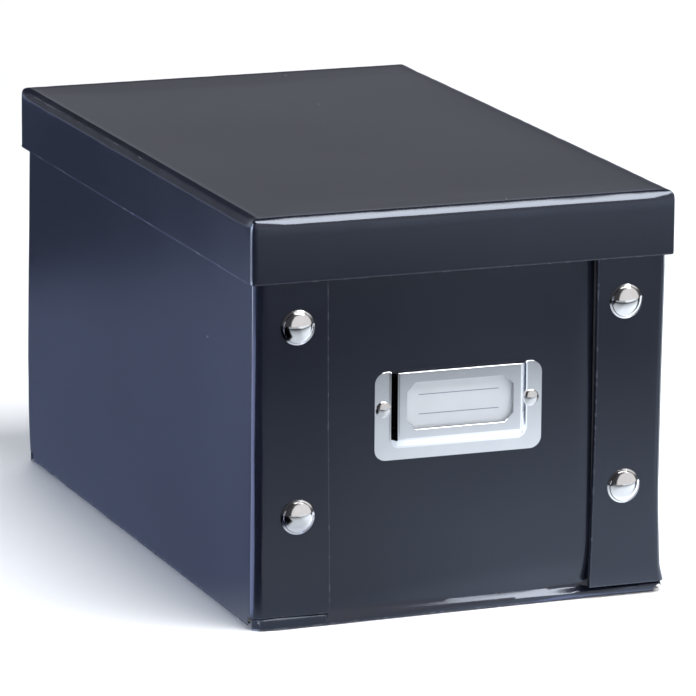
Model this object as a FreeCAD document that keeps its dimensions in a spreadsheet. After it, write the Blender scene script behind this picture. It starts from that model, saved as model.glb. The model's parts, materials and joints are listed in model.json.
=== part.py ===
import FreeCAD, Part
import math
import os
import Sketcher

# A storage box of covered board with a lift-off lid, in millimetres.
# The origin is the middle of the underside, the front faces -Y and +Z is up.
# Each side wall ends in two flaps that fold round the front and rear walls and close with press studs.
# Board is left out at every crease, so only the cover paper and the lining run round it.

doc = FreeCAD.newDocument("lidded_box")
sheet = doc.addObject("Spreadsheet::Sheet", "Sizes")


class Size:
    """A length that remembers the sheet expression it comes from."""

    def __init__(self, text, number):
        self.text = text
        self.number = number

    def __add__(self, other):
        other = sized(other)
        return Size(f"({self.text} + {other.text})", self.number + other.number)

    def __sub__(self, other):
        other = sized(other)
        return Size(f"({self.text} - {other.text})", self.number - other.number)

    def __mul__(self, other):
        other = sized(other)
        return Size(f"({self.text} * {other.text})", self.number * other.number)

    def __truediv__(self, other):
        other = sized(other)
        return Size(f"({self.text} / {other.text})", self.number / other.number)

    def __neg__(self):
        return Size(f"(0 - {self.text})", -self.number)

    __radd__ = __add__


def sized(value):
    """Return the value as a Size."""
    if isinstance(value, Size):
        return value
    return Size(f"({value})", value)


def dimension(alias, number, meaning):
    """Write one driving dimension into the sheet and return it."""
    dimension.row += 1
    sheet.set(f"A{dimension.row}", meaning)
    sheet.set(f"B{dimension.row}", str(number))
    sheet.setAlias(f"B{dimension.row}", alias)
    return Size(f"Sizes.{alias}", number)


dimension.row = 0

# Body of the box
body_width = dimension("body_width", 161.1, "outside, side wall to side wall")
body_length = dimension("body_length", 268.1, "outside, front flaps to rear flaps")
total_height = dimension("total_height", 153.5, "floor to the top of the closed lid")
board = dimension("board", 1.8, "thickness of the body's board")
cover = dimension("cover", 0.2, "thickness of the outer cover paper")
lining = dimension("lining", 0.15, "thickness of the lining paper")
fold = dimension("fold", 3.5, "outer radius of the body's creases")
turn_in = dimension("turn_in", 12, "cover paper turned in at the rims")
base_lap = dimension("base_lap", 15, "cover paper lapped under the base")
flap_width = dimension("flap_width", 28.2, "side wall's outer face to the flap's free edge")
flap_bottom = dimension("flap_bottom", 4.5, "floor to the lower edge of the flaps")
flap_gap = dimension("flap_gap", 0.05, "flap to the wall behind it")
panel_gap = dimension("panel_gap", 0.15, "end of the front or rear wall to the crease")

# Lid
lid_board = dimension("lid_board", 1.25, "thickness of the lid's board")
lid_gap = dimension("lid_gap", 0.35, "lid's lining to the body, each side")
lid_fold = dimension("lid_fold", 2.4, "outer radius round the lid's top edges")
lid_corner = dimension("lid_corner", 1.0, "outer radius of the skirt's corners")
skirt_depth = dimension("skirt_depth", 24.2, "top of the lid to the lower edge of its skirt")

# Press studs
stud_inset = dimension("stud_inset", 16.05, "side wall's outer face to the stud axis")
stud_low = dimension("stud_low", 42.5, "floor to the lower stud axis")
stud_drop = dimension("stud_drop", 16.8, "lower edge of the skirt to the upper stud axis")
cap_radius = dimension("cap_radius", 6.65, "outer radius of the stud cap")
cap_height = dimension("cap_height", 2.5, "rise of the stud cap over the flap")
cap_rim = dimension("cap_rim", 0.6, "straight rim under the cap's dome")
sheet_metal = dimension("sheet_metal", 0.4, "thickness of the pressed metal")
stem_radius = dimension("stem_radius", 1.8, "stem of the cap")
stem_flare = dimension("stem_flare", 0.4, "how far the clenched stem end spreads")
socket_radius = dimension("socket_radius", 5.0, "outer radius of the socket")
socket_bore = dimension("socket_bore", 2.7, "bore of the socket")
flap_web = dimension("flap_web", 0.7, "flap left over the socket's recess")
ball_radius = dimension("ball_radius", 2.3, "ball that snaps into the socket")
ball_round = dimension("ball_round", 0.7, "rounding of the ball")
ball_end_gap = dimension("ball_end_gap", 0.2, "ball's tip to the clenched stem end")
flange_radius = dimension("flange_radius", 4.5, "flange of the ball piece and of the post")
post_radius = dimension("post_radius", 1.5, "post through the wall")
hole_gap = dimension("hole_gap", 0.1, "metal to the hole's wall in board or paper")
metal_fit = dimension("metal_fit", 0.02, "metal inside metal, each side")

# Label holder
holder_shift = dimension("holder_shift", -0.7, "middle of the box to the middle of the holder")
holder_drop = dimension("holder_drop", 1.3, "middle of the stud rows to the middle of the holder")
holder_width = dimension("holder_width", 65.8, "width of the flange")
holder_height = dimension("holder_height", 33.2, "height of the flange")
holder_corner = dimension("holder_corner", 4.5, "corner radius of the flange")
pocket_rise = dimension("pocket_rise", 0.8, "flange's face to the raised face")
pocket_slope = dimension("pocket_slope", 2.4, "width of the sloping sides")
pocket_toe = dimension("pocket_toe", 3.0, "height of the sloping lower edge")
pocket_width = dimension("pocket_width", 48.3, "width of the raised face")
pocket_floor = dimension("pocket_floor", 7.8, "lower edge of the flange to the raised face")
pocket_mouth = dimension("pocket_mouth", 0.4, "top of the flange to the top of the raised face")
window_width = dimension("window_width", 41.8, "width of the window")
window_height = dimension("window_height", 17.7, "height of the window")
window_corner = dimension("window_corner", 3.4, "cut of the window's corners")
window_margin = dimension("window_margin", 3.5, "raised face below the window")
card_thickness = dimension("card_thickness", 0.3, "thickness of the label card")
card_gap = dimension("card_gap", 0.2, "card to the holder")
rivet_spacing = dimension("rivet_spacing", 58.1, "rivet to rivet")
rivet_shift = dimension("rivet_shift", -0.4, "middle of the holder to the middle of the rivets")
rivet_raise = dimension("rivet_raise", 2.6, "middle of the holder to the rivets' height")
rivet_radius = dimension("rivet_radius", 3.1, "radius of the rivet's head")
rivet_dome = dimension("rivet_dome", 1.3, "rise of the rivet's head")
rivet_shank = dimension("rivet_shank", 1.3, "radius of the rivet's shank")
rivet_end = dimension("rivet_end", 0.5, "height of the clenched end")
washer_radius = dimension("washer_radius", 3.0, "radius of the washer")

# Derived lengths of the body
wall = cover + board + lining
under_board = cover + board
half_width = body_width / 2
half_length = body_length / 2
panel_face = half_length - wall - flap_gap
lid_wall = cover + lid_board + lining
wall_top = total_height - lid_wall
board_bottom = flap_bottom + cover
board_top = wall_top - cover
base_half_width = half_width - fold
base_half_length = panel_face - fold
panel_half_width = base_half_width - panel_gap
flap_edge = half_width - flap_width
side_board_end = half_length - fold

# Derived lengths of the lid
lid_half_width = half_width + lid_gap + lid_wall
lid_half_length = half_length + lid_gap + lid_wall
skirt_bottom = total_height - skirt_depth

# Derived places of the fittings
ball_recess = cover + sheet_metal / 2
stud_x = half_width - stud_inset
stud_high = skirt_bottom - stud_drop
holder_z = (stud_low + stud_high) / 2 - holder_drop
flange_low = holder_z - holder_height / 2
flange_top = holder_z + holder_height / 2
face_low = flange_low + pocket_floor
face_top = flange_top - pocket_mouth
holder_back = -panel_face
flange_front = holder_back - sheet_metal
face_front = flange_front - pocket_rise
rivet_z = holder_z + rivet_raise

nodes = []


def number_of(value):
    """Return a Size or a plain number as a number."""
    return sized(value).number


def new_body(name):
    """Start an empty body."""
    body = doc.addObject("PartDesign::Body", name)
    body.Label = name
    return body


def new_node(name):
    """Start an empty body and list it as a node."""
    body = new_body(name)
    nodes.append(body)
    return body


def place_point(sketch, geometry, position, x, y):
    """Tie a point of the sketch to expressions of the sheet."""
    for kind, axis, value in (("DistanceX", -2, x), ("DistanceY", -1, y)):
        if isinstance(value, Size):
            constraint = Sketcher.Constraint(kind, -1, 1, geometry, position, value.number)
            index = sketch.addConstraint(constraint)
            sketch.setExpression(f"Constraints[{index}]", value.text)
        else:
            sketch.addConstraint(Sketcher.Constraint("PointOnObject", geometry, position, axis))


def set_radius(sketch, geometry, radius):
    """Tie the radius of an arc or circle to the sheet."""
    index = sketch.addConstraint(Sketcher.Constraint("Radius", geometry, radius.number))
    sketch.setExpression(f"Constraints[{index}]", radius.text)


def toward(start, end):
    """Return the sign of each axis on the way from one corner to the next."""
    steps = [number_of(b) - number_of(a) for a, b in zip(start[:2], end[:2])]
    return [0 if abs(step) < 1e-9 else math.copysign(1, step) for step in steps]


def add_arc(sketch, corner, back, ahead):
    """Round one corner; return the arc's arriving and leaving ends as geometry and position."""
    radius = corner[2]
    centre = [sized(corner[axis]) + radius * (back[axis] + ahead[axis]) for axis in (0, 1)]
    middle = [value.number for value in centre]
    # Seen from the centre, the arc starts opposite the way ahead and ends opposite the way back
    angles = [math.atan2(-way[1], -way[0]) for way in (ahead, back)]
    turned_left = math.sin(angles[1] - angles[0]) > 0
    low, high = angles if turned_left else reversed(angles)
    circle = Part.Circle(FreeCAD.Vector(*middle, 0), FreeCAD.Vector(0, 0, 1), radius.number)
    arc = sketch.addGeometry(Part.ArcOfCircle(circle, low, high), False)
    arrive, leave = (1, 2) if turned_left else (2, 1)
    place_point(sketch, arc, 3, *centre)
    set_radius(sketch, arc, radius)
    along, across = ("Vertical", "Horizontal") if back[0] else ("Horizontal", "Vertical")
    sketch.addConstraint(Sketcher.Constraint(along, arc, 3, arc, arrive))
    sketch.addConstraint(Sketcher.Constraint(across, arc, 3, arc, leave))
    return (arc, arrive), (arc, leave)


def add_outline(sketch, corners):
    """Draw a closed outline; a corner with a third value is rounded by that radius.

    A coordinate of plain 0 lies on the sketch's axis. The sides at a rounded corner run along the axes,
    and a corner that lies where a rounding starts or ends only tells which way that side runs.
    """
    count = len(corners)
    ends = []
    arcs = []
    for index, corner in enumerate(corners):
        here = [number_of(value) for value in corner[:2]]
        back = toward(corner, corners[index - 1])
        ahead = toward(corner, corners[(index + 1) % count])
        radius = number_of(corner[2]) if len(corner) == 3 else 0
        ends.append([[here[axis] + way[axis] * radius for axis in (0, 1)] for way in (back, ahead)])
        arcs.append(add_arc(sketch, corner, back, ahead) if radius else None)
    sides = []
    for index in range(count):
        start = FreeCAD.Vector(*ends[index][1], 0)
        end = FreeCAD.Vector(*ends[(index + 1) % count][0], 0)
        has_length = start.distanceToPoint(end) > 1e-6
        sides.append(sketch.addGeometry(Part.LineSegment(start, end), False) if has_length else None)
    for index, corner in enumerate(corners):
        side_in, side_out = sides[index - 1], sides[index]
        arriving = (side_in, 2) if side_in is not None else arcs[index - 1] and arcs[index - 1][1]
        following = arcs[(index + 1) % count]
        leaving = (side_out, 1) if side_out is not None else following and following[0]
        if arcs[index] is None:
            sketch.addConstraint(Sketcher.Constraint("Coincident", *arriving, *leaving))
            if side_in is not None and side_out is not None:
                place_point(sketch, *leaving, *corner[:2])
            continue
        if side_in is not None:
            sketch.addConstraint(Sketcher.Constraint("Coincident", *arriving, *arcs[index][0]))
        if side_out is not None:
            sketch.addConstraint(Sketcher.Constraint("Coincident", *arcs[index][1], *leaving))


def add_circle(sketch, x, y, radius):
    """Draw a circle tied to the sheet."""
    centre = FreeCAD.Vector(number_of(x), number_of(y), 0)
    geometry = sketch.addGeometry(Part.Circle(centre, FreeCAD.Vector(0, 0, 1), radius.number), False)
    place_point(sketch, geometry, 3, x, y)
    set_radius(sketch, geometry, radius)


def new_sketch(body, role, level=None):
    """Attach a sketch to an origin plane of its body, raised along the plane's normal."""
    sketch = body.newObject("Sketcher::SketchObject", f"{body.Name}_sketch")
    plane = [feature for feature in body.Origin.OriginFeatures if feature.Role == role][0]
    sketch.AttachmentSupport = [(plane, "")]
    sketch.MapMode = "FlatFace"
    if level is not None:
        sketch.setExpression("AttachmentOffset.Base.z", sized(level).text)
    return sketch


def add_slab(body, role, outlines, low, high):
    """Pad outlines on a plane's direction between two levels; later outlines are openings."""
    low, high = sized(low), sized(high)
    # The normal of the XZ plane points to -Y
    sketch = new_sketch(body, role, -high if role == "XZ_Plane" else low)
    for corners in outlines:
        add_outline(sketch, corners)
    pad = body.newObject("PartDesign::Pad", f"{body.Name}_pad")
    pad.Profile = sketch
    pad.setExpression("Length", (high - low).text)
    doc.recompute()


def cut_holes(body, centres, radius, low, high):
    """Cut round holes along Y between two levels, at the given X and Z."""
    before = body.Shape.Volume
    sketch = new_sketch(body, "XZ_Plane", -sized(low))
    for x, z in centres:
        add_circle(sketch, x, z, radius)
    pocket = body.newObject("PartDesign::Pocket", f"{body.Name}_holes")
    pocket.Profile = sketch
    pocket.setExpression("Length", (sized(high) - low).text)
    doc.recompute()
    if not body.Shape.Volume < before - 1e-6:
        raise RuntimeError(f"the holes in {body.Label} cut nothing")


def rectangle(x_low, x_high, y_low, y_high):
    """Return the corners of a rectangle."""
    return [(x_low, y_low), (x_high, y_low), (x_high, y_high), (x_low, y_high)]


def rounded(half_x, half_y, radius):
    """Return the corners of a centred rectangle with round corners."""
    corners = [(-half_x, -half_y), (half_x, -half_y), (half_x, half_y), (-half_x, half_y)]
    return [(*corner, radius) for corner in corners] if radius else corners


def box_node(name, x_low, x_high, y_low, y_high, z_low, z_high):
    """Make a flat rectangular node."""
    body = new_node(name)
    add_slab(body, "XY_Plane", [rectangle(x_low, x_high, y_low, y_high)], z_low, z_high)
    return body


def boolean(kind, name, first, second):
    """Return the cut or fusion of two objects."""
    result = doc.addObject(f"Part::{kind}", name)
    result.Base = first
    result.Tool = second
    return result


def mirrored(values, sign):
    """Return two levels, mirrored when the sign is negative, in rising order."""
    return values if sign > 0 else tuple(-value for value in reversed(values))


# Base

box_node("base_board", -base_half_width, base_half_width, -base_half_length, base_half_length,
         cover, under_board)
box_node("base_lining", -base_half_width, base_half_width, -base_half_length, base_half_length,
         under_board, wall)
box_node("base_cover", base_lap - base_half_width, base_half_width - base_lap,
         base_lap - base_half_length, base_half_length - base_lap, 0, cover)

# Front and rear walls

stud_centres = [(-stud_x, stud_low), (stud_x, stud_low), (-stud_x, stud_high), (stud_x, stud_high)]
rivet_centres = [
    (holder_shift + rivet_shift - rivet_spacing / 2, rivet_z),
    (holder_shift + rivet_shift + rivet_spacing / 2, rivet_z),
]


def end_wall(side, sign):
    """Make the board, cover and lining of the front (-1) or rear (+1) wall."""
    def out(inset):
        return (panel_face - inset) * sign

    lean = mirrored((panel_face - under_board, panel_face - cover), sign)
    board_node = box_node(f"{side}_board", -panel_half_width, panel_half_width, *lean,
                          board_bottom, board_top)
    cover_node = new_node(f"{side}_cover")
    profile = [
        (base_half_length * sign, 0), (out(0), 0, fold), (out(0), wall_top), (out(wall), wall_top),
        (out(wall), wall_top - turn_in), (out(under_board), wall_top - turn_in),
        (out(under_board), board_top), (out(cover), board_top), (out(cover), cover, fold - cover),
        (base_half_length * sign, cover),
    ]
    add_slab(cover_node, "YZ_Plane", [profile], -panel_half_width, panel_half_width)
    lap = [
        (-panel_half_width, base_half_length * sign), (panel_half_width, base_half_length * sign),
        (panel_half_width - base_lap, (base_half_length - base_lap) * sign),
        (base_lap - panel_half_width, (base_half_length - base_lap) * sign),
    ]
    add_slab(cover_node, "XY_Plane", [lap], 0, cover)
    lining_node = new_node(f"{side}_lining")
    profile = [
        (base_half_length * sign, under_board), (out(under_board), under_board, fold - under_board),
        (out(under_board), wall_top - turn_in), (out(wall), wall_top - turn_in),
        (out(wall), wall, fold - wall), (base_half_length * sign, wall),
    ]
    add_slab(lining_node, "YZ_Plane", [profile], -panel_half_width, panel_half_width)

    post_hole = post_radius + hole_gap
    seat = mirrored((panel_face - ball_recess, panel_face), sign)
    through = mirrored((panel_face - wall, panel_face), sign)
    cut_holes(board_node, stud_centres, post_hole, *through)
    cut_holes(board_node, stud_centres, flange_radius + hole_gap, *seat)
    cut_holes(cover_node, stud_centres, flange_radius + hole_gap, *seat)
    cut_holes(lining_node, stud_centres, post_hole, *through)
    if side == "front":
        for node in (board_node, cover_node, lining_node):
            cut_holes(node, rivet_centres, rivet_shank + hole_gap, *through)


end_wall("front", -1)
end_wall("rear", 1)

# Side walls with their flaps


def side_band(sign, near, far, edge):
    """Return the plan of a layer that runs along a side wall and round both of its flaps."""
    outer_x, inner_x = (half_width - near) * sign, (half_width - far) * sign
    outer_y, inner_y = half_length - near, half_length - far
    edge = edge * sign
    return [
        (edge, -outer_y), (outer_x, -outer_y, fold - near), (outer_x, outer_y, fold - near),
        (edge, outer_y), (edge, inner_y), (inner_x, inner_y, fold - far),
        (inner_x, -inner_y, fold - far), (edge, -inner_y),
    ]


def side_crease(sign, near, far, top):
    """Return the section of a layer round the crease between a side wall and the base."""
    outer_x, inner_x = (half_width - near) * sign, (half_width - far) * sign
    tangent = base_half_width * sign
    return [
        (tangent, near), (outer_x, near, fold - near), (outer_x, top),
        (inner_x, top), (inner_x, far, fold - far), (tangent, far),
    ]


def side_wall(side, sign):
    """Make the boards, cover and lining of the left (-1) or right (+1) side wall and its flaps."""
    lean = mirrored((half_width - under_board, half_width - cover), sign)
    box_node(f"{side}_side_board", *lean, -side_board_end, side_board_end, board_bottom, board_top)
    span = mirrored((flap_edge + cover, base_half_width), sign)
    flap_boards = []
    for end, facing in (("front", -1), ("rear", 1)):
        depth = mirrored((half_length - under_board, half_length - cover), facing)
        node = box_node(f"{end}_{side}_flap_board", *span, *depth, board_bottom, board_top)
        flap_boards.append((node, facing))

    cover_node = new_node(f"{side}_side_cover")
    outer_face = side_band(sign, 0, cover, flap_edge)
    rim = side_band(sign, 0, wall, flap_edge)
    turned = side_band(sign, under_board, wall, flap_edge)
    crease = side_crease(sign, 0, cover, flap_bottom)
    add_slab(cover_node, "XY_Plane", [outer_face], flap_bottom, wall_top)
    add_slab(cover_node, "XY_Plane", [rim], board_top, wall_top)
    add_slab(cover_node, "XY_Plane", [turned], wall_top - turn_in, wall_top)
    add_slab(cover_node, "XZ_Plane", [crease], -base_half_length, base_half_length)
    lap = [
        (base_half_width * sign, -base_half_length), (base_half_width * sign, base_half_length),
        ((base_half_width - base_lap) * sign, base_half_length - base_lap),
        ((base_half_width - base_lap) * sign, base_lap - base_half_length),
    ]
    add_slab(cover_node, "XY_Plane", [lap], 0, cover)
    free_edge = mirrored((flap_edge, flap_edge + cover), sign)
    flap_span = mirrored((flap_edge, base_half_width), sign)
    for facing in (-1, 1):
        depth = mirrored((half_length - wall, half_length), facing)
        add_slab(cover_node, "XY_Plane", [rectangle(*free_edge, *depth)], flap_bottom, wall_top)
        add_slab(cover_node, "XY_Plane", [rectangle(*flap_span, *depth)], flap_bottom, board_bottom)

    lining_node = new_node(f"{side}_side_lining")
    plan = side_band(sign, under_board, wall, flap_edge + cover)
    crease = side_crease(sign, under_board, wall, board_bottom)
    add_slab(lining_node, "XY_Plane", [plan], board_bottom, wall_top - turn_in)
    add_slab(lining_node, "XZ_Plane", [crease], -base_half_length, base_half_length)

    for node, facing in flap_boards:
        centres = [(stud_x * sign, stud_low), (stud_x * sign, stud_high)]
        through = mirrored((half_length - wall, half_length), facing)
        recess = mirrored((half_length - wall, half_length - flap_web), facing)
        cut_holes(node, centres, stem_radius + hole_gap, *through)
        cut_holes(node, centres, socket_radius + hole_gap, *recess)
        cut_holes(cover_node, centres, stem_radius + hole_gap, *through)
        cut_holes(lining_node, centres, socket_radius + hole_gap, *through)


side_wall("left", -1)
side_wall("right", 1)

# Press studs


def face_out(body, x, face, z, sign):
    """Stand a turned piece on a face, with its axis pointing out of the front (-1) or rear (+1)."""
    turn = FreeCAD.Rotation(FreeCAD.Vector(1, 0, 0), -90 * sign)
    body.Placement = FreeCAD.Placement(FreeCAD.Vector(0, 0, 0), turn)
    for axis, value in (("x", x), ("y", sized(face) * sign), ("z", z)):
        body.setExpression(f"Placement.Base.{axis}", sized(value).text)


def revolve(body, sketch):
    """Turn the sketch about its upright axis."""
    turned = body.newObject("PartDesign::Revolution", f"{body.Name}_turned")
    turned.Profile = sketch
    turned.ReferenceAxis = (sketch, ["V_Axis"])
    turned.Angle = 360
    doc.recompute()


def turned_piece(body, corners):
    """Turn a profile of radius and height about its own axis."""
    sketch = new_sketch(body, "XZ_Plane")
    add_outline(sketch, corners)
    revolve(body, sketch)


def add_dome(sketch, start, end, start_point, end_point, rise, radius, base):
    """Close the gap between two points with a shallow dome arc about the upright axis.

    Each point is a pair of geometry and position; the dome rises over a circle at the base level.
    """
    ball = (radius * radius + rise * rise) / (rise * 2)
    middle = base + rise - ball
    centre = FreeCAD.Vector(0, middle.number, 0)
    angles = [math.atan2(point.y - centre.y, point.x) for point in (start, end)]
    circle = Part.Circle(centre, FreeCAD.Vector(0, 0, 1), ball.number)
    arc = sketch.addGeometry(Part.ArcOfCircle(circle, *angles), False)
    place_point(sketch, arc, 3, 0, middle)
    sketch.addConstraint(Sketcher.Constraint("Coincident", arc, 1, *start_point))
    sketch.addConstraint(Sketcher.Constraint("Coincident", arc, 2, *end_point))


def domed_solid(body, radius, rise, base, tail):
    """Turn a domed head with a stepped tail; the tail is a list of radius and height pairs."""
    sketch = new_sketch(body, "XZ_Plane")
    points = [(0, tail[-1][1]), *reversed(tail), (radius, base)]
    for index in range(len(points) - 1):
        start = FreeCAD.Vector(*[number_of(value) for value in points[index]], 0)
        end = FreeCAD.Vector(*[number_of(value) for value in points[index + 1]], 0)
        sketch.addGeometry(Part.LineSegment(start, end), False)
    last = len(points) - 2
    for index, point in enumerate(points):
        place_point(sketch, min(index, last), 1 if index <= last else 2, *point)
        if 0 < index <= last:
            sketch.addConstraint(Sketcher.Constraint("Coincident", index - 1, 2, index, 1))
    top = base + rise
    spine = sketch.addGeometry(Part.LineSegment(FreeCAD.Vector(0, top.number, 0),
                                                FreeCAD.Vector(0, number_of(points[0][1]), 0)), False)
    sketch.addConstraint(Sketcher.Constraint("Coincident", spine, 2, 0, 1))
    sketch.addConstraint(Sketcher.Constraint("PointOnObject", spine, 1, -2))
    rim = FreeCAD.Vector(radius.number, number_of(base), 0)
    add_dome(sketch, rim, FreeCAD.Vector(0, top.number, 0), (last, 2), (spine, 1), rise, radius, base)
    revolve(body, sketch)


def hollow_under(body, radius, rise, core):
    """Cut the hollow under a domed head, leaving a core in the middle."""
    before = body.Shape.Volume
    sketch = new_sketch(body, "XZ_Plane")
    ball = (radius * radius + rise * rise) / (rise * 2)
    roof = math.sqrt(ball.number ** 2 - core.number ** 2) + (rise - ball).number
    inner_top = FreeCAD.Vector(core.number, roof, 0)
    inner_low = FreeCAD.Vector(core.number, 0, 0)
    outer_low = FreeCAD.Vector(radius.number, 0, 0)
    sketch.addGeometry(Part.LineSegment(inner_top, inner_low), False)
    sketch.addGeometry(Part.LineSegment(inner_low, outer_low), False)
    sketch.addConstraint(Sketcher.Constraint("Coincident", 0, 2, 1, 1))
    sketch.addConstraint(Sketcher.Constraint("Vertical", 0))
    place_point(sketch, 1, 1, core, 0)
    place_point(sketch, 1, 2, radius, 0)
    add_dome(sketch, outer_low, inner_top, (1, 2), (0, 1), rise, radius, 0)
    groove = body.newObject("PartDesign::Groove", f"{body.Name}_hollow")
    groove.Profile = sketch
    groove.ReferenceAxis = (sketch, ["V_Axis"])
    groove.Angle = 360
    doc.recompute()
    if not body.Shape.Volume < before - 1e-6:
        raise RuntimeError(f"the hollow in {body.Label} cut nothing")


# Depths of the press studs' faces behind the flap's outer face
socket_web = flap_web + sheet_metal
stem_end = socket_web + sheet_metal / 2
panel_depth = wall + flap_gap
ball_back = panel_depth + ball_recess
ball_front = panel_depth + flap_gap
ball_tip = stem_end + ball_end_gap
post_tip = ball_front + metal_fit
inner_face = panel_depth + wall


def stud_cap(body):
    """A domed cap with a hollow underside and a stem that is clenched inside the socket."""
    tail = [
        (cap_radius, 0), (stem_radius, 0), (stem_radius, -socket_web),
        (stem_radius + stem_flare, -socket_web), (stem_radius + stem_flare, -stem_end),
    ]
    domed_solid(body, cap_radius, cap_height - cap_rim, cap_rim, tail)


def stud_socket(body):
    """A cupped ring that lies in the flap's recess, open to the ball."""
    turned_piece(body, [
        (stem_radius + metal_fit, -flap_web), (socket_radius, -flap_web), (socket_radius, -wall),
        (socket_bore, -wall), (socket_bore, -socket_web), (stem_radius + metal_fit, -socket_web),
    ])


def stud_ball(body):
    """A hollow ball on a flange that lies in the wall's recess."""
    turned_piece(body, [
        (0, -ball_tip), (ball_radius, -ball_tip, ball_round), (ball_radius, -ball_front),
        (flange_radius, -ball_front), (flange_radius, -ball_back), (post_radius + metal_fit, -ball_back),
        (post_radius + metal_fit, -ball_front), (0, -ball_front),
    ])


def stud_post(body):
    """A flanged post that holds the ball from inside the box."""
    turned_piece(body, [
        (0, -post_tip), (post_radius, -post_tip),
        (post_radius, -inner_face), (flange_radius, -inner_face),
        (flange_radius, -inner_face - sheet_metal), (0, -inner_face - sheet_metal),
    ])


def stud_group(name, make, sign):
    """Make the four like pieces of one wall as one node of separate solids."""
    group = doc.addObject("Part::Compound", name)
    members = []
    for index, (x, z) in enumerate(stud_centres):
        body = new_body(f"{name}_{index + 1}")
        make(body)
        face_out(body, x, half_length, z, sign)
        members.append(body)
    group.Links = members
    group.Label = name
    nodes.append(group)


for end, sign in (("front", -1), ("rear", 1)):
    for side, hand in (("left", -1), ("right", 1)):
        for row, height in (("lower", stud_low), ("upper", stud_high)):
            cap = new_node(f"{end}_{side}_{row}_cap")
            stud_cap(cap)
            hollow_under(cap, cap_radius - sheet_metal, cap_height - sheet_metal, stem_radius)
            face_out(cap, stud_x * hand, half_length, height, sign)
    stud_group(f"{end}_stud_sockets", stud_socket, sign)
    stud_group(f"{end}_stud_balls", stud_ball, sign)
    stud_group(f"{end}_stud_posts", stud_post, sign)

# Label holder, card and rivets


def pocket_loft(body, back, front, inset):
    """Loft the raised pocket, or its hollow when inset by the metal, from a wide back to a narrow front."""
    sections = []
    for level, spread, toe in ((back, pocket_slope, pocket_toe), (front, sized(0), sized(0))):
        half = pocket_width / 2 + spread - inset
        low = face_low - toe + inset
        sketch = new_sketch(body, "XZ_Plane", -level)
        add_outline(sketch, rectangle(holder_shift - half, holder_shift + half, low, face_top))
        sections.append(sketch)
    loft = body.newObject("PartDesign::AdditiveLoft", f"{body.Name}_loft")
    loft.Profile = sections[0]
    loft.Sections = [sections[1]]
    loft.Ruled = True
    doc.recompute()


blank = new_body("pressed_blank")
flange = [
    (holder_shift - holder_width / 2, flange_low), (holder_shift + holder_width / 2, flange_low),
    (holder_shift + holder_width / 2, flange_top), (holder_shift - holder_width / 2, flange_top),
]
add_slab(blank, "XZ_Plane", [[(*corner, holder_corner) for corner in flange]], flange_front, holder_back)
pocket_loft(blank, flange_front, face_front, sized(0))
hollow = new_body("pocket_hollow")
pocket_loft(hollow, holder_back, face_front + sheet_metal, sheet_metal)
mouth = new_body("pocket_mouth")
mouth_half = pocket_width / 2 + pocket_slope - sheet_metal
add_slab(mouth, "XZ_Plane",
         [rectangle(holder_shift - mouth_half, holder_shift + mouth_half, face_top, flange_top + cover)],
         flange_front - cover, holder_back)
window = new_body("label_window")
window_low = face_low + window_margin
window_top = window_low + window_height
window_left = holder_shift - window_width / 2
window_right = holder_shift + window_width / 2
add_slab(window, "XZ_Plane", [[
    (window_left + window_corner, window_low), (window_right - window_corner, window_low),
    (window_right, window_low + window_corner), (window_right, window_top - window_corner),
    (window_right - window_corner, window_top), (window_left + window_corner, window_top),
    (window_left, window_top - window_corner), (window_left, window_low + window_corner),
]], face_front - cover, face_front + sheet_metal + cover)
cut_holes(blank, rivet_centres, rivet_shank + metal_fit, flange_front, holder_back)
# The pocket's sides are relieved where the rivets' heads lie over their feet
cut_holes(blank, rivet_centres, rivet_radius + metal_fit, face_front, flange_front)
hollowed_holder = boolean("Cut", "hollowed_holder", blank, hollow)
open_holder = boolean("Cut", "open_holder", hollowed_holder, mouth)
nodes.append(boolean("Cut", "label_holder", open_holder, window))

card_half = pocket_width / 2 - sheet_metal - card_gap
card_front = face_front + sheet_metal + card_gap
box_node("label_card", holder_shift - card_half, holder_shift + card_half,
         card_front, card_front + card_thickness, face_low + sheet_metal + card_gap, face_top - card_gap)

washer_face = sheet_metal + wall
washer_back = washer_face + sheet_metal
for side, (x, z) in zip(("left", "right"), rivet_centres):
    rivet = new_node(f"holder_rivet_{side}")
    domed_solid(rivet, rivet_radius, rivet_dome, 0, [
        (rivet_shank, 0), (rivet_shank, -washer_back), (rivet_shank + rivet_end, -washer_back),
        (rivet_shank + rivet_end, -washer_back - rivet_end),
    ])
    face_out(rivet, x, -flange_front, z, -1)
    washer = new_node(f"rivet_washer_{side}")
    turned_piece(washer, [
        (rivet_shank + metal_fit, -washer_back), (washer_radius, -washer_back),
        (washer_radius, -washer_face), (rivet_shank + metal_fit, -washer_face),
    ])
    face_out(washer, x, -flange_front, z, -1)

# Lid


def lid_block(name, inset, low, fold_radius, corner_radius):
    """Return a block with folded top edges, inset from the lid's outer faces."""
    half_x, half_y, top = lid_half_width - inset, lid_half_length - inset, total_height - inset
    prisms = []
    for role, half, other in (("XZ_Plane", half_x, half_y), ("YZ_Plane", half_y, half_x)):
        body = new_body(f"{name}_{role[:2]}")
        rounding = (fold_radius,) if fold_radius else ()
        section = [(-half, low), (half, low), (half, top, *rounding), (-half, top, *rounding)]
        add_slab(body, role, [section], -other, other)
        prisms.append(body)
    if corner_radius:
        body = new_body(f"{name}_plan")
        add_slab(body, "XY_Plane", [rounded(half_x, half_y, corner_radius)], low, top)
        prisms.append(body)
    block = doc.addObject("Part::MultiCommon", name)
    block.Shapes = prisms
    return block


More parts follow.
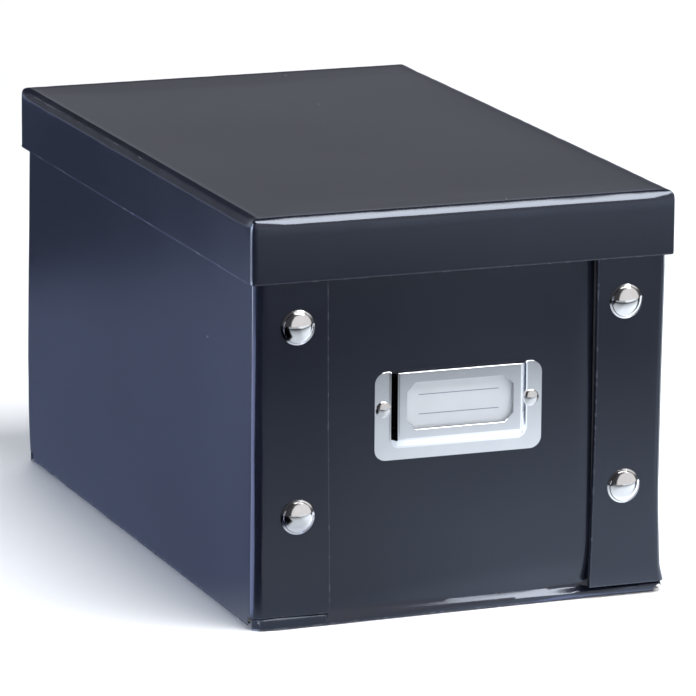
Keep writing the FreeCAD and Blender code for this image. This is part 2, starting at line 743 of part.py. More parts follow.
lid_under_board = cover + lid_board
lid_outer = lid_block("lid_outer", sized(0), skirt_bottom, lid_fold, lid_corner)
lid_paper_inside = lid_block("lid_paper_inside", cover, skirt_bottom, lid_fold - cover, lid_corner - cover)
lid_shell = boolean("Cut", "lid_shell", lid_outer, lid_paper_inside)
turned_edge = new_body("lid_turned_edge")
inner_x, inner_y = lid_half_width - lid_wall, lid_half_length - lid_wall
add_slab(turned_edge, "XY_Plane",
         [rounded(lid_half_width, lid_half_length, lid_corner), rounded(inner_x, inner_y, None)],
         skirt_bottom, skirt_bottom + cover)
add_slab(turned_edge, "XY_Plane",
         [rounded(lid_half_width - lid_under_board, lid_half_length - lid_under_board, None),
          rounded(inner_x, inner_y, None)],
         skirt_bottom, skirt_bottom + turn_in)
nodes.append(boolean("Fuse", "lid_cover", lid_shell, turned_edge))

lining_low = skirt_bottom + turn_in
lining_outside = lid_block("lining_outside", lid_under_board, lining_low, None, None)
lining_inside = lid_block("lining_inside", lid_wall, lining_low, None, None)
nodes.append(boolean("Cut", "lid_lining", lining_outside, lining_inside))

box_node("lid_top_board", lid_fold - lid_half_width, lid_half_width - lid_fold,
         lid_fold - lid_half_length, lid_half_length - lid_fold,
         total_height - lid_under_board, total_height - cover)
skirt_levels = (skirt_bottom + cover, total_height - lid_fold)
for end, sign in (("front", -1), ("rear", 1)):
    depth = mirrored((lid_half_length - lid_under_board, lid_half_length - cover), sign)
    box_node(f"lid_{end}_board", lid_corner - lid_half_width, lid_half_width - lid_corner,
             *depth, *skirt_levels)
for side, sign in (("left", -1), ("right", 1)):
    span = mirrored((lid_half_width - lid_under_board, lid_half_width - cover), sign)
    box_node(f"lid_{side}_board", *span, lid_under_board - lid_half_length,
             lid_half_length - lid_under_board, *skirt_levels)

# Check and write

doc.recompute()
for item in doc.Objects:
    if "Invalid" in item.State or "Error" in item.State:
        raise RuntimeError(f"{item.Label} failed: {item.State}")
for node in nodes:
    if node.Shape.isNull() or not node.Shape.isValid():
        raise RuntimeError(f"{node.Label} has no valid shape")

os.makedirs("parts", exist_ok=True)
for node in nodes:
    node.Shape.exportStep(f"parts/{node.Label}.step")
    print(node.Label, len(node.Shape.Solids), round(node.Shape.Volume, 1))
print(len(nodes), "nodes")
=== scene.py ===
import json
import math

import bmesh
import bpy
from mathutils import Matrix, Vector, noise


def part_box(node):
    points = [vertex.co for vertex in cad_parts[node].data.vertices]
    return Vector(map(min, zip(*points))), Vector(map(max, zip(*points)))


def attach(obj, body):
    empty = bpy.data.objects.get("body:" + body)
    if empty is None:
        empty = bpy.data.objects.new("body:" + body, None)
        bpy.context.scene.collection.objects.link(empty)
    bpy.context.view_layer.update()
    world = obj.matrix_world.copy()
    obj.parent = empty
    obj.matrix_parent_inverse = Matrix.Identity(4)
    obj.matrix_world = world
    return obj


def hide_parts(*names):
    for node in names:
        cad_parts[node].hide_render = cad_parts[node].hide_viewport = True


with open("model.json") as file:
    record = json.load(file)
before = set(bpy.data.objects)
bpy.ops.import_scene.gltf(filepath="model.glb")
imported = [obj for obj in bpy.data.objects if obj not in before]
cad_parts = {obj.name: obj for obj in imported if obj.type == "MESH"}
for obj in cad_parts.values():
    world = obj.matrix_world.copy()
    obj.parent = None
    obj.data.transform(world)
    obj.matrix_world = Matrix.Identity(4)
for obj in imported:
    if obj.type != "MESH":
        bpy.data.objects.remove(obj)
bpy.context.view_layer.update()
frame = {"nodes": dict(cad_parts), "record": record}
cadNodes = frame["nodes"]
print("frame loaded:", len(cadNodes), "nodes")


def addNode(tree, kind, inputs=None, **settings):
    made = tree.nodes.new("ShaderNode" + kind)
    for name, value in settings.items():
        setattr(made, name, value)
    for name, value in (inputs or {}).items():
        if isinstance(value, bpy.types.NodeSocket):
            tree.links.new(value, made.inputs[name])
        else:
            made.inputs[name].default_value = value
    return made


def addMath(tree, operation, first, second=0.0):
    return addNode(tree, "Math", {0: first, 1: second}, operation=operation).outputs["Value"]


def addRange(tree, value, low, high, start=0.0, end=1.0, smooth=True):
    kind = "SMOOTHSTEP" if smooth else "LINEAR"
    limits = {"Value": value, "From Min": low, "From Max": high, "To Min": start, "To Max": end}
    return addNode(tree, "MapRange", limits, interpolation_type=kind).outputs["Result"]


def addRamp(tree, value, stops, low, high, color=(1, 1, 1)):
    ramp = addNode(tree, "ValToRGB", {"Fac": addRange(tree, value, low, high, smooth=False)})
    elements = ramp.color_ramp.elements
    while len(elements) < len(stops):
        elements.new(0.5)
    for element, (place, level) in zip(elements, stops):
        element.position = place
        element.color = (*(level * part for part in color), 1)
    return ramp.outputs["Color"]


def addMix(tree, share, first, second):
    return addNode(tree, "MixRGB", {"Fac": share, "Color1": first, "Color2": second}).outputs["Color"]


def addProduct(tree, first, second):
    return addMath(tree, "MULTIPLY", first, second)


def addSum(tree, first, second):
    return addMath(tree, "ADD", first, second)


def addDifference(tree, first, second):
    return addMath(tree, "SUBTRACT", first, second)


# Stage

studio = {
    "floorSize": 8.0,
    "floorColor": (0.9, 0.9, 0.9, 1),
    "floorRoughness": 0.9,
    "keyPlace": (0.38, -0.40, 1.05),       # softbox overhead, which the lid's front fold mirrors
    "keyTarget": (0.38, -0.40, 0.0),
    "keySize": (0.96, 0.64),
    "keyPower": 22.0,
    "sidePlace": (-0.85, -0.08, 0.24),     # cool softbox standing on the left
    "sideTarget": (0.0, 0.0, 0.1),
    "sideSize": (0.40, 0.44),
    "sidePower": 7.0,
    "sideColor": (0.72, 0.82, 1.0),
    "backPlace": (0.55, 1.75, 1.50),       # fills the floor behind, and gloss doesn't see it
    "backTarget": (0.35, 0.9, 0.0),
    "backSize": (1.6, 0.9),
    "backPower": 26.0,
    "skyColor": (0.05, 0.05, 0.055, 1),
    "rearBlur": (0.0, -0.3),               # the horizon's glow begins where the wall axis points away
    "horizonColor": (0.245, 0.245, 0.262, 1),
    "horizonHeight": (0.34, 0.20),
    "lowHorizonColor": (0.55, 0.62, 0.75, 1),
    "lowHorizonHeight": (0.14, 0.08),
    "wallAxis": (0.485, -0.875, 0.0),      # towards the lit wall that the metal mirrors
    "wallColor": (0.92, 0.91, 0.93, 1),
    "wallEdge": (0.59, 0.65),
    "wallHeight": (0.80, 0.70),
}

sheet = {                                   # the painted glow on the floor round the box: an emission that only glossy rays see, so the box shows it as painted reflections
    "corner": (-0.0805, -0.134),
    "frontGlow": [                          # distance ahead of the front wall and brightness
        (0.0, 1.45), (0.016, 1.45), (0.03, 1.15), (0.11, 1.10), (0.2, 0.80), (0.3, 0.52), (0.4, 0.19), (0.46, 0.0),
        (0.57, 0.0), (0.7, 0.60), (1.0, 0.72),
    ],
    "frontLength": 1.0,
    "frontColor": (0.97, 1.06, 1.17),
    "leftEdge": (0.095, 0.72, 0.10),        # start, slope and where the slope begins
    "leftBlur": 0.012,
    "rightEdge": (0.015, 0.3),              # start and slope
    "rightBlur": 0.015,
    "nearStrip": (0.024, 0.018),
    "shadeSlope": 0.18,
    "shade": (-0.04, 0.05, 0.66, 1.0),      # darker on the left, brighter on the right
    "rise": (0.05, 0.25, 1.0, 1.2),
    "patchAhead": (0.49, 0.53),
    "patchAcross": (0.08, 0.26, 0.0, 0.42),
    "sideGlow": [                           # place along the left wall and brightness
        (0.0, 0.235), (0.20, 0.225), (0.235, 0.15), (0.26, 0.06), (0.35, 0.05), (0.50, 0.04), (0.58, 0.45),
        (1.0, 0.45),
    ],
    "sideLength": 2.0,
    "sideGlowColor": (1.04, 1.25, 2.03),
    "sideAlong": (-0.20, -0.05),
    "sideAcross": (0.0, -0.05),
    "fanStart": (0.018, 0.026),             # two fans of light spread from the box's corner
    "fanChange": (0.50, 0.53),
    "leastAside": 0.001,
    "foldFan": (-0.45, -0.25, 1.5, 1.0),    # the near one lights the wall's fold
    "foldGlowColor": (2.6, 2.9, 4.4, 1),
    "lidFan": (0.3, 0.5, 1.6, 1.3),         # the far one lights the lid's corner
    "lidGlowColor": (9.0, 9.6, 10.6, 1),
}

view = {
    "place": (-0.76545, -2.01092, 0.57723),
    "azimuth": -21.004,
    "elevation": 13.259,
    "roll": 0.409,
    "lens": 295.64,
    "sensor": 36.0,
    "farthest": 50,
}


def addSoftbox(name):
    data = bpy.data.lights.new(f"{name}_softbox", "AREA")
    data.shape = "RECTANGLE"
    data.size, data.size_y = studio[f"{name}Size"]
    data.energy = studio[f"{name}Power"]
    lamp = bpy.data.objects.new(f"{name}_softbox", data)
    bpy.context.scene.collection.objects.link(lamp)
    place = Vector(studio[f"{name}Place"])
    lamp.location = place
    lamp.rotation_euler = (Vector(studio[f"{name}Target"]) - place).to_track_quat("-Z", "Y").to_euler()
    return lamp


# these paint the floor's glow: painted light that only the box's reflections show, no lamp
def lightFront(tree, x, ahead):
    glow = addRamp(tree, ahead, sheet["frontGlow"], 0, sheet["frontLength"])
    patch = addProduct(tree, addRange(tree, ahead, *sheet["patchAhead"]), addRange(tree, x, *sheet["patchAcross"]))
    slanted = addDifference(tree, x, addProduct(tree, ahead, sheet["shadeSlope"]))
    shade = addProduct(tree, addRange(tree, slanted, *sheet["shade"]), addRange(tree, x, *sheet["rise"]))
    level = addSum(tree, addProduct(tree, glow, shade), patch)
    start, slope, bend = sheet["leftEdge"]
    farther = addMath(tree, "MAXIMUM", addDifference(tree, ahead, bend), 0.0)
    fromLeft = addSum(tree, addProduct(tree, farther, slope), addSum(tree, x, start))
    margin, lean = sheet["rightEdge"]
    fromRight = addDifference(tree, addSum(tree, ahead, margin), addProduct(tree, x, lean))
    leftBlur, rightBlur = sheet["leftBlur"], sheet["rightBlur"]
    shown = addProduct(tree, addRange(tree, fromLeft, -leftBlur, leftBlur),
                       addRange(tree, fromRight, -rightBlur, rightBlur))
    shown = addMath(tree, "MAXIMUM", shown, addRange(tree, ahead, *sheet["nearStrip"]))
    level = addProduct(tree, level, shown)
    scaled = addNode(tree, "VectorMath", {0: sheet["frontColor"], "Scale": level}, operation="SCALE")
    return scaled.outputs["Vector"]


def lightLeft(tree, x, y, lit):
    glow = addRamp(tree, y, sheet["sideGlow"], 0, sheet["sideLength"], sheet["sideGlowColor"])
    onLeft = addProduct(tree, addRange(tree, y, *sheet["sideAlong"]), addRange(tree, x, *sheet["sideAcross"]))
    return addMix(tree, onLeft, lit, glow)


def lightFans(tree, x, y, lit):
    cornerX, cornerY = sheet["corner"]
    aside = addDifference(tree, cornerX, x)
    along = addDifference(tree, y, cornerY)
    ratio = addMath(tree, "DIVIDE", along, addMath(tree, "MAXIMUM", aside, sheet["leastAside"]))
    squares = addSum(tree, addMath(tree, "POWER", aside, 2), addMath(tree, "POWER", along, 2))
    reach = addMath(tree, "SQRT", squares)
    beyond = addRange(tree, reach, *sheet["fanChange"])
    for fan, part in (("fold", addDifference(tree, 1.0, beyond)), ("lid", beyond)):
        limits = sheet[f"{fan}Fan"]
        spread = addProduct(tree, addRange(tree, ratio, *limits[:2]), addRange(tree, ratio, *limits[2:]))
        spread = addProduct(tree, spread, addRange(tree, reach, *sheet["fanStart"]))
        lit = addMix(tree, addProduct(tree, spread, part), lit, sheet[f"{fan}GlowColor"])
    return lit


def makeFloorPaint():
    paint = bpy.data.materials.new("pale_floor_and_painted_glow")
    paint.use_nodes = True
    paint.cycles.emission_sampling = "NONE"
    tree = paint.node_tree
    shader = tree.nodes["Principled BSDF"]
    shader.inputs["Base Color"].default_value = studio["floorColor"]
    shader.inputs["Roughness"].default_value = studio["floorRoughness"]
    shader.inputs["Specular IOR Level"].default_value = 0.0
    place = addNode(tree, "SeparateXYZ", {"Vector": addNode(tree, "TexCoord").outputs["Object"]})
    x, y = place.outputs["X"], place.outputs["Y"]
    lit = lightFront(tree, x, addDifference(tree, sheet["corner"][1], y))
    lit = lightFans(tree, x, y, lightLeft(tree, x, y, lit))
    # the floor glows with this painted light for glossy rays only, giving painted reflections on the box; camera and
    # diffuse rays see the plain pale floor
    glow = addNode(tree, "Emission", {"Color": lit, "Strength": 1.0}).outputs["Emission"]
    seen = addNode(tree, "LightPath").outputs["Is Glossy Ray"]
    both = addNode(tree, "MixShader", {"Fac": seen, 1: shader.outputs["BSDF"], 2: glow}).outputs["Shader"]
    tree.links.new(both, tree.nodes["Material Output"].inputs["Surface"])
    return paint


def makeStage():
    bpy.ops.mesh.primitive_plane_add(size=studio["floorSize"])
    floor = bpy.context.object
    floor.name = "floor"
    floor.data.materials.append(makeFloorPaint())

    addSoftbox("key")
    addSoftbox("side").data.color = studio["sideColor"]
    addSoftbox("back").visible_glossy = False

    world = bpy.data.worlds.new("soft_studio")
    world.use_nodes = True
    tree = world.node_tree
    sky = addNode(tree, "TexCoord").outputs["Generated"]
    height = addNode(tree, "SeparateXYZ", {"Vector": sky}).outputs["Z"]
    facing = addNode(tree, "VectorMath", {0: sky, 1: studio["wallAxis"]}, operation="DOT_PRODUCT")
    toFront = facing.outputs["Value"]
    toRear = addRange(tree, toFront, *studio["rearBlur"])
    horizon = addProduct(tree, toRear, addRange(tree, height, *studio["horizonHeight"]))
    lowHorizon = addProduct(tree, toRear, addRange(tree, height, *studio["lowHorizonHeight"]))
    wall = addProduct(tree, addRange(tree, toFront, *studio["wallEdge"]), addRange(tree, height, *studio["wallHeight"]))
    dome = addMix(tree, horizon, studio["skyColor"], studio["horizonColor"])
    dome = addMix(tree, lowHorizon, dome, studio["lowHorizonColor"])
    dome = addMix(tree, wall, dome, studio["wallColor"])
    tree.links.new(dome, tree.nodes["Background"].inputs["Color"])
    bpy.context.scene.world = world
    bpy.context.scene.view_settings.view_transform = "Standard"
    print("stage lit")


def placeCamera():
    data = bpy.data.cameras.new("camera")
    data.lens = view["lens"]
    data.sensor_width = view["sensor"]
    data.clip_end = view["farthest"]
    camera = bpy.data.objects.new("camera", data)
    bpy.context.scene.collection.objects.link(camera)
    turn = (
        Matrix.Rotation(math.radians(view["azimuth"]), 4, "Z")
        @ Matrix.Rotation(math.radians(90 - view["elevation"]), 4, "X")
        @ Matrix.Rotation(math.radians(view["roll"]), 4, "Z")
    )
    camera.matrix_world = Matrix.Translation(view["place"]) @ turn
    bpy.context.scene.camera = camera
    print("camera placed")


# Finishes

def newGroup(name, inputs, outputs):
    tree = bpy.data.node_groups.new(name, "ShaderNodeTree")
    for label, kind, value in inputs:
        socket = tree.interface.new_socket(name=label, in_out="INPUT", socket_type=kind)
        if value is not None:
            socket.default_value = value
    for label in outputs:
        tree.interface.new_socket(name=label, in_out="OUTPUT", socket_type="NodeSocketFloat")
    return tree, tree.nodes.new("NodeGroupInput").outputs, tree.nodes.new("NodeGroupOutput").inputs


def makeGrainGroup():
    tree, given, wanted = newGroup("paperGrain", [
        ("Vector", "NodeSocketVector", None),
        ("Grain Scale", "NodeSocketFloat", 700.0),
        ("Blotch Scale", "NodeSocketFloat", 20.0),
    ], ["Height", "Blotch"])
    detail, blotchEnds = 3.0, (0.2, 0.8)
    fine = addNode(tree, "TexNoise", {"Vector": given["Vector"], "Scale": given["Grain Scale"], "Detail": detail})
    broad = addNode(tree, "TexNoise", {"Vector": given["Vector"], "Scale": given["Blotch Scale"], "Detail": detail})
    tree.links.new(fine.outputs["Fac"], wanted["Height"])
    tree.links.new(addRange(tree, broad.outputs["Fac"], *blotchEnds, smooth=False), wanted["Blotch"])
    return tree


def makeSpeckGroup():
    tree, given, wanted = newGroup("looseSpecks", [
        ("Vector", "NodeSocketVector", None),
        ("Scale", "NodeSocketFloat", 90.0),
        ("Amount", "NodeSocketFloat", 0.05),
        ("Size", "NodeSocketFloat", 0.1),
    ], ["Specks"])
    cells = addNode(tree, "TexVoronoi", {"Vector": given["Vector"], "Scale": given["Scale"]})
    picked = addNode(tree, "SeparateColor", {"Color": cells.outputs["Color"]}).outputs["Red"]
    picked = addMath(tree, "LESS_THAN", picked, given["Amount"])
    spread = addMath(tree, "DIVIDE", cells.outputs["Distance"], given["Size"])
    softEdge = (1.0, 0.4)
    tree.links.new(addProduct(tree, addRange(tree, spread, *softEdge), picked), wanted["Specks"])
    return tree


def makeWearGroup():
    tree, given, wanted = newGroup("edgeWear", [
        ("Vector", "NodeSocketVector", None),
        ("Radius", "NodeSocketFloat", 0.0009),
        ("Breakup Scale", "NodeSocketFloat", 300.0),
        ("Amount", "NodeSocketFloat", 0.5),
    ], ["Rim", "Worn"])
    rimTurn, chipEdge = (0.995, 0.93), 0.08        # how far the normal turns, and how softly chips end
    eased = addNode(tree, "Bevel", {"Radius": given["Radius"]}, samples=4).outputs["Normal"]
    plain = addNode(tree, "NewGeometry").outputs["Normal"]
    facing = addNode(tree, "VectorMath", {0: eased, 1: plain}, operation="DOT_PRODUCT").outputs["Value"]
    rim = addRange(tree, facing, *rimTurn)
    broken = addNode(tree, "TexNoise", {"Vector": given["Vector"], "Scale": given["Breakup Scale"], "Detail": 4.0})
    level = addDifference(tree, 1.0, given["Amount"])
    chips = addRange(tree, broken.outputs["Fac"], level, addSum(tree, level, chipEdge), smooth=False)
    tree.links.new(rim, wanted["Rim"])
    tree.links.new(addProduct(tree, rim, chips), wanted["Worn"])
    return tree


grainGroup = makeGrainGroup()
speckGroup = makeSpeckGroup()
wearGroup = makeWearGroup()


def useGroup(tree, group, inputs):
    return addNode(tree, "Group", inputs, node_tree=group).outputs


def startFinish(name):
    paint = bpy.data.materials.new(name)
    paint.use_nodes = True
    tree = paint.node_tree
    return paint, tree, tree.nodes["Principled BSDF"], addNode(tree, "TexCoord").outputs["Object"]


def addBump(tree, shader, height, strength, distance):
    raised = addNode(tree, "Bump", {"Height": height, "Strength": strength, "Distance": distance})
    tree.links.new(raised.outputs["Normal"], shader.inputs["Normal"])


def startPaper(name, look):
    paint, tree, shader, place = startFinish(name)
    grain = useGroup(tree, grainGroup, {"Vector": place, **look["grain"]})
    low, high = look["maskEnds"]
    rough = addRange(tree, grain[look["mask"]], low, high, *look["roughness"], smooth=False)
    tree.links.new(rough, shader.inputs["Roughness"])
    addBump(tree, shader, grain["Height"], *look["bump"])
    return paint, tree, shader, place, addMix(tree, grain["Blotch"], look["color"], look["lighter"])


laminateLook = {
    "color": (0.0048, 0.0058, 0.0108, 1),
    "lighter": (0.0072, 0.0086, 0.0160, 1),
    "rimColor": (0.050, 0.055, 0.068, 1),
    "rimShare": 0.5,
    "wornColor": (0.16, 0.17, 0.19, 1),
    "wornShare": 0.30,
    "dustColor": (0.30, 0.30, 0.31, 1),
    "dustShare": 0.6,
    "roughness": (0.165, 0.205),
    "wornRoughness": 0.25,                  # added where the paper is rubbed
    "dustRoughness": 0.3,
    "ior": 1.55,
    "specularTint": (0.92, 1.0, 1.17, 1),
    "grain": {"Grain Scale": 420.0, "Blotch Scale": 16.0},
    "wear": {"Radius": 0.0007, "Breakup Scale": 420.0, "Amount": 0.46},
    "dust": {"Scale": 110.0, "Amount": 0.035, "Size": 0.05},
    "fibre": {"Scale": 170.0, "Amount": 0.02, "Size": 0.07},
    "fibreTurn": (0.0, 0.0, 0.35),
    "fibreStretch": (0.22, 1.0, 1.0),
    "rimGrain": 3.0,                        # the grain stands out this much more on creases
    "bump": (0.35, 0.000035),               # strength and depth
}


def makeNavyLaminate():
    look = laminateLook
    paint, tree, shader, place = startFinish("navy_laminate")
    grain = useGroup(tree, grainGroup, {"Vector": place, **look["grain"]})
    wear = useGroup(tree, wearGroup, {"Vector": place, **look["wear"]})
    dust = useGroup(tree, speckGroup, {"Vector": place, **look["dust"]})
    laid = {"Vector": place, "Rotation": look["fibreTurn"], "Scale": look["fibreStretch"]}
    turned = addNode(tree, "Mapping", laid).outputs["Vector"]
    fibre = useGroup(tree, speckGroup, {"Vector": turned, **look["fibre"]})
    litter = addMath(tree, "MAXIMUM", dust["Specks"], fibre["Specks"])
    color = addMix(tree, grain["Blotch"], look["color"], look["lighter"])
    color = addMix(tree, addProduct(tree, wear["Rim"], look["rimShare"]), color, look["rimColor"])
    color = addMix(tree, addProduct(tree, wear["Worn"], look["wornShare"]), color, look["wornColor"])
    color = addMix(tree, addProduct(tree, litter, look["dustShare"]), color, look["dustColor"])
    tree.links.new(color, shader.inputs["Base Color"])
    rough = addRange(tree, grain["Blotch"], 0, 1, *look["roughness"], smooth=False)
    rough = addSum(tree, rough, addProduct(tree, wear["Worn"], look["wornRoughness"]))
    rough = addSum(tree, rough, addProduct(tree, litter, look["dustRoughness"]))
    tree.links.new(rough, shader.inputs["Roughness"])
    shader.inputs["IOR"].default_value = look["ior"]
    shader.inputs["Specular Tint"].default_value = look["specularTint"]
    coarser = addSum(tree, addProduct(tree, wear["Rim"], look["rimGrain"]), 1.0)
    addBump(tree, shader, addProduct(tree, grain["Height"], coarser), *look["bump"])
    return paint


liningLook = {
    "color": (0.018, 0.018, 0.020, 1),
    "lighter": (0.030, 0.030, 0.033, 1),
    "fluffColor": (0.20, 0.19, 0.18, 1),
    "fluffShare": 0.5,
    "roughness": (0.62, 0.74),
    "mask": "Blotch",
    "maskEnds": (0, 1),
    "grain": {"Grain Scale": 900.0, "Blotch Scale": 30.0},
    "fluff": {"Scale": 150.0, "Amount": 0.05, "Size": 0.06},
    "bump": (0.4, 0.00008),
}


def makeBlackLining():
    look = liningLook
    paint, tree, shader, place, color = startPaper("black_lining_paper", look)
    fluff = useGroup(tree, speckGroup, {"Vector": place, **look["fluff"]})
    color = addMix(tree, addProduct(tree, fluff["Specks"], look["fluffShare"]), color, look["fluffColor"])
    tree.links.new(color, shader.inputs["Base Color"])
    return paint


boardLook = {
    "color": (0.20, 0.185, 0.16, 1),
    "lighter": (0.30, 0.28, 0.25, 1),
    "fibreColor": (0.10, 0.09, 0.08, 1),
    "roughness": (0.78, 0.92),
    "mask": "Height",
    "maskEnds": (0.3, 0.7),
    "grain": {"Grain Scale": 1100.0, "Blotch Scale": 45.0},
    "fibre": {"Scale": 420.0, "Amount": 0.25, "Size": 0.2},
    "bump": (0.6, 0.0001),
}


def makeGreyBoard():
    look = boardLook
    paint, tree, shader, place, color = startPaper("grey_board", look)
    fibre = useGroup(tree, speckGroup, {"Vector": place, **look["fibre"]})
    tree.links.new(addMix(tree, fibre["Specks"], color, look["fibreColor"]), shader.inputs["Base Color"])
    return paint


metalLook = {
    "blotchScale": 130.0,
    "wear": {"Radius": 0.0003, "Breakup Scale": 900.0, "Amount": 0.45},
    "wornRoughness": 0.12,
    "bump": (0.15, 0.00001),
}

metals = {                                  # roughness runs from clean to dulled
    "bright_nickel": {
        "color": (0.80, 0.785, 0.78, 1), "dulled": (0.66, 0.645, 0.635, 1), "roughness": (0.09, 0.13),
        "scratchScale": 1500.0,
    },
    "pale_nickel": {
        "color": (0.93, 0.93, 0.94, 1), "dulled": (0.88, 0.88, 0.90, 1), "roughness": (0.06, 0.11),
        "scratchScale": 1500.0,
    },
    "satin_nickel": {
        "color": (0.70, 0.69, 0.68, 1), "dulled": (0.60, 0.59, 0.58, 1), "roughness": (0.11, 0.17),
        "scratchScale": 1500.0,
    },
    "dull_steel": {
        "color": (0.52, 0.52, 0.53, 1), "dulled": (0.40, 0.40, 0.41, 1), "roughness": (0.28, 0.40),
        "scratchScale": 900.0,
    },
}


def makeMetal(name):
    look = {**metalLook, **metals[name]}
    paint, tree, shader, place = startFinish(name)
    smudge = useGroup(tree, grainGroup, {
        "Vector": place, "Grain Scale": look["scratchScale"], "Blotch Scale": look["blotchScale"]})
    wear = useGroup(tree, wearGroup, {"Vector": place, **look["wear"]})
    tree.links.new(addMix(tree, smudge["Blotch"], look["color"], look["dulled"]), shader.inputs["Base Color"])
    film = addRange(tree, smudge["Blotch"], 0, 1, *look["roughness"], smooth=False)
    film = addSum(tree, film, addProduct(tree, wear["Worn"], look["wornRoughness"]))
    tree.links.new(film, shader.inputs["Roughness"])
    shader.inputs["Metallic"].default_value = 1.0
    addBump(tree, shader, smudge["Height"], *look["bump"])
    return paint


cardLook = {
    "color": (0.485, 0.515, 0.555, 1),
    "lighter": (0.52, 0.55, 0.59, 1),
    "lineColor": (0.16, 0.18, 0.24, 1),
    "lines": (0.0835, 0.0762),              # heights of the two ruled lines
    "lineEnds": (-0.0165, 0.0150),
    "lineHalf": 0.00016,
    "lineBlur": (1.4, 0.6),                 # in halves of a line
    "roughness": (0.48, 0.6),
    "mask": "Height",
    "maskEnds": (0.3, 0.7),
    "grain": {"Grain Scale": 1600.0, "Blotch Scale": 90.0},
    "bump": (0.3, 0.00003),
}


def makeWhiteCard():
    look = cardLook
    paint, tree, shader, place, color = startPaper("white_card", look)
    spot = addNode(tree, "SeparateXYZ", {"Vector": place}).outputs
    outer, inner = (share * look["lineHalf"] for share in look["lineBlur"])
    ink = 0.0
    for level in look["lines"]:
        apart = addMath(tree, "ABSOLUTE", addDifference(tree, spot["Z"], level))
        ink = addMath(tree, "MAXIMUM", ink, addRange(tree, apart, outer, inner))
    for end, sign in zip(look["lineEnds"], (1.0, -1.0)):
        inside = addProduct(tree, addDifference(tree, spot["X"], end), sign)
        ink = addProduct(tree, ink, addMath(tree, "GREATER_THAN", inside, 0.0))
    tree.links.new(addMix(tree, ink, color, look["lineColor"]), shader.inputs["Base Color"])
    return paint


paleNickel = makeMetal("pale_nickel")       # the label holder's
satinNickel = makeMetal("satin_nickel")     # its rivets'
finishes = {
    "cover_paper": makeNavyLaminate(),
    "lining_paper": makeBlackLining(),
    "board": makeGreyBoard(),
    "nickel": makeMetal("bright_nickel"),
    "steel": makeMetal("dull_steel"),
    "label_card": makeWhiteCard(),
}
print("finishes made:", len(finishes) + 2)


# Modelling

def startPiece(name):
    piece = bpy.context.object
    piece.name = name
    piece.data.name = name
    bpy.ops.object.transform_apply(location=True, rotation=True, scale=True)
    bpy.ops.object.mode_set(mode="EDIT")
    bpy.ops.mesh.select_all(action="SELECT")
    return piece


def clearSelection():
    bpy.ops.object.select_all(action="DESELECT")


def middleOf(element):
    if isinstance(element, bmesh.types.BMVert):
        return element.co.copy()
    return sum((corner.co for corner in element.verts), Vector()) / len(element.verts)


def choose(piece, kind, test):
    bpy.ops.mesh.select_mode(type={"verts": "VERT", "edges": "EDGE", "faces": "FACE"}[kind])
    bpy.ops.mesh.select_all(action="DESELECT")
    mesh = bmesh.from_edit_mesh(piece.data)
    for element in getattr(mesh, kind):
        if test(middleOf(element), element):
            element.select_set(True)
    bmesh.update_edit_mesh(piece.data)


def chooseBorder(piece, test):
    choose(piece, "edges", lambda middle, edge: edge.is_boundary and test(middle))


def selectAll():
    bpy.ops.mesh.select_all(action="SELECT")


def extrudeBy(x, y, z):
    bpy.ops.mesh.extrude_region_move(TRANSFORM_OT_translate={"value": (x, y, z)})


def cutAt(axis, places):
    normal = Vector([float(name == axis) for name in "XYZ"])
    for place in places:
        selectAll()
        bpy.ops.mesh.bisect(plane_co=normal * place, plane_no=normal)


def weld(gap):
    selectAll()
    bpy.ops.mesh.remove_doubles(threshold=gap)


def closeMesh():
    selectAll()
    bpy.ops.mesh.normals_make_consistent(inside=False)
    bpy.ops.object.mode_set(mode="OBJECT")


def mirrorPiece(piece, axis):
    piece.scale[axis] = -1
    bpy.ops.object.transform_apply(location=False, rotation=False, scale=True)
    bpy.ops.object.mode_set(mode="EDIT")
    selectAll()
    bpy.ops.mesh.flip_normals()
    bpy.ops.object.mode_set(mode="OBJECT")


def sculpt(piece, move):
    for corner in piece.data.vertices:
        corner.co += move(corner.co)


def near(value, target, slack=0.00002):
    return abs(value - target) < slack


def clamp(value):
    return max(0.0, min(1.0, value))


def fade(distance, reach):
    return max(0.0, 1 - distance / reach)


def between(value, stops):
    stops = sorted(stops)
    if value <= stops[0][0]:
        return stops[0][1]
    for (low, first), (high, last) in zip(stops, stops[1:]):
        if value <= high:
            return first + (last - first) * (value - low) / (high - low)
    return stops[-1][1]


def growDome(profile, outward, middle, tip):
    for before, after in zip(profile, profile[1:]):
        extrudeBy(*(part * (after[1] - before[1]) for part in outward))
        scale = after[0] / before[0]
        bpy.ops.transform.resize(value=[1 if part else scale for part in outward], center_override=middle)
    extrudeBy(*(part * (tip - profile[-1][1]) for part in outward))
    bpy.ops.mesh.merge(type="CENTER")
    closeMesh()


def roundEdges(piece, width, segments=3):
    softened = piece.modifiers.new("edges", "BEVEL")
    softened.width = width
    softened.segments = segments
    softened.limit_method = "ANGLE"
    softened.angle_limit = math.radians(40)


def thicken(piece, thickness):
    thick = piece.modifiers.new("sheet", "SOLIDIFY")
    thick.thickness = thickness
    thick.offset = -1


def applyModifiers(piece):
    for modifier in list(piece.modifiers):
        bpy.ops.object.modifier_apply(modifier=modifier.name)


def finishPiece(piece, body, slot, replaced, angle=35, flatFaces=False):
    bpy.ops.object.mode_set(mode="OBJECT")
    applyModifiers(piece)
    bpy.ops.object.shade_smooth_by_angle(angle=math.radians(angle))
    if flatFaces:
        evened = piece.modifiers.new("normals", "WEIGHTED_NORMAL")
        evened.keep_sharp = True
        applyModifiers(piece)
    piece.data.materials.clear()
    piece.data.materials.append(finishes[slot])
    clearSelection()
    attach(piece, body)
    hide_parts(*replaced)
    print("made", piece.name, len(piece.data.polygons), "faces")
    return piece


# Lid

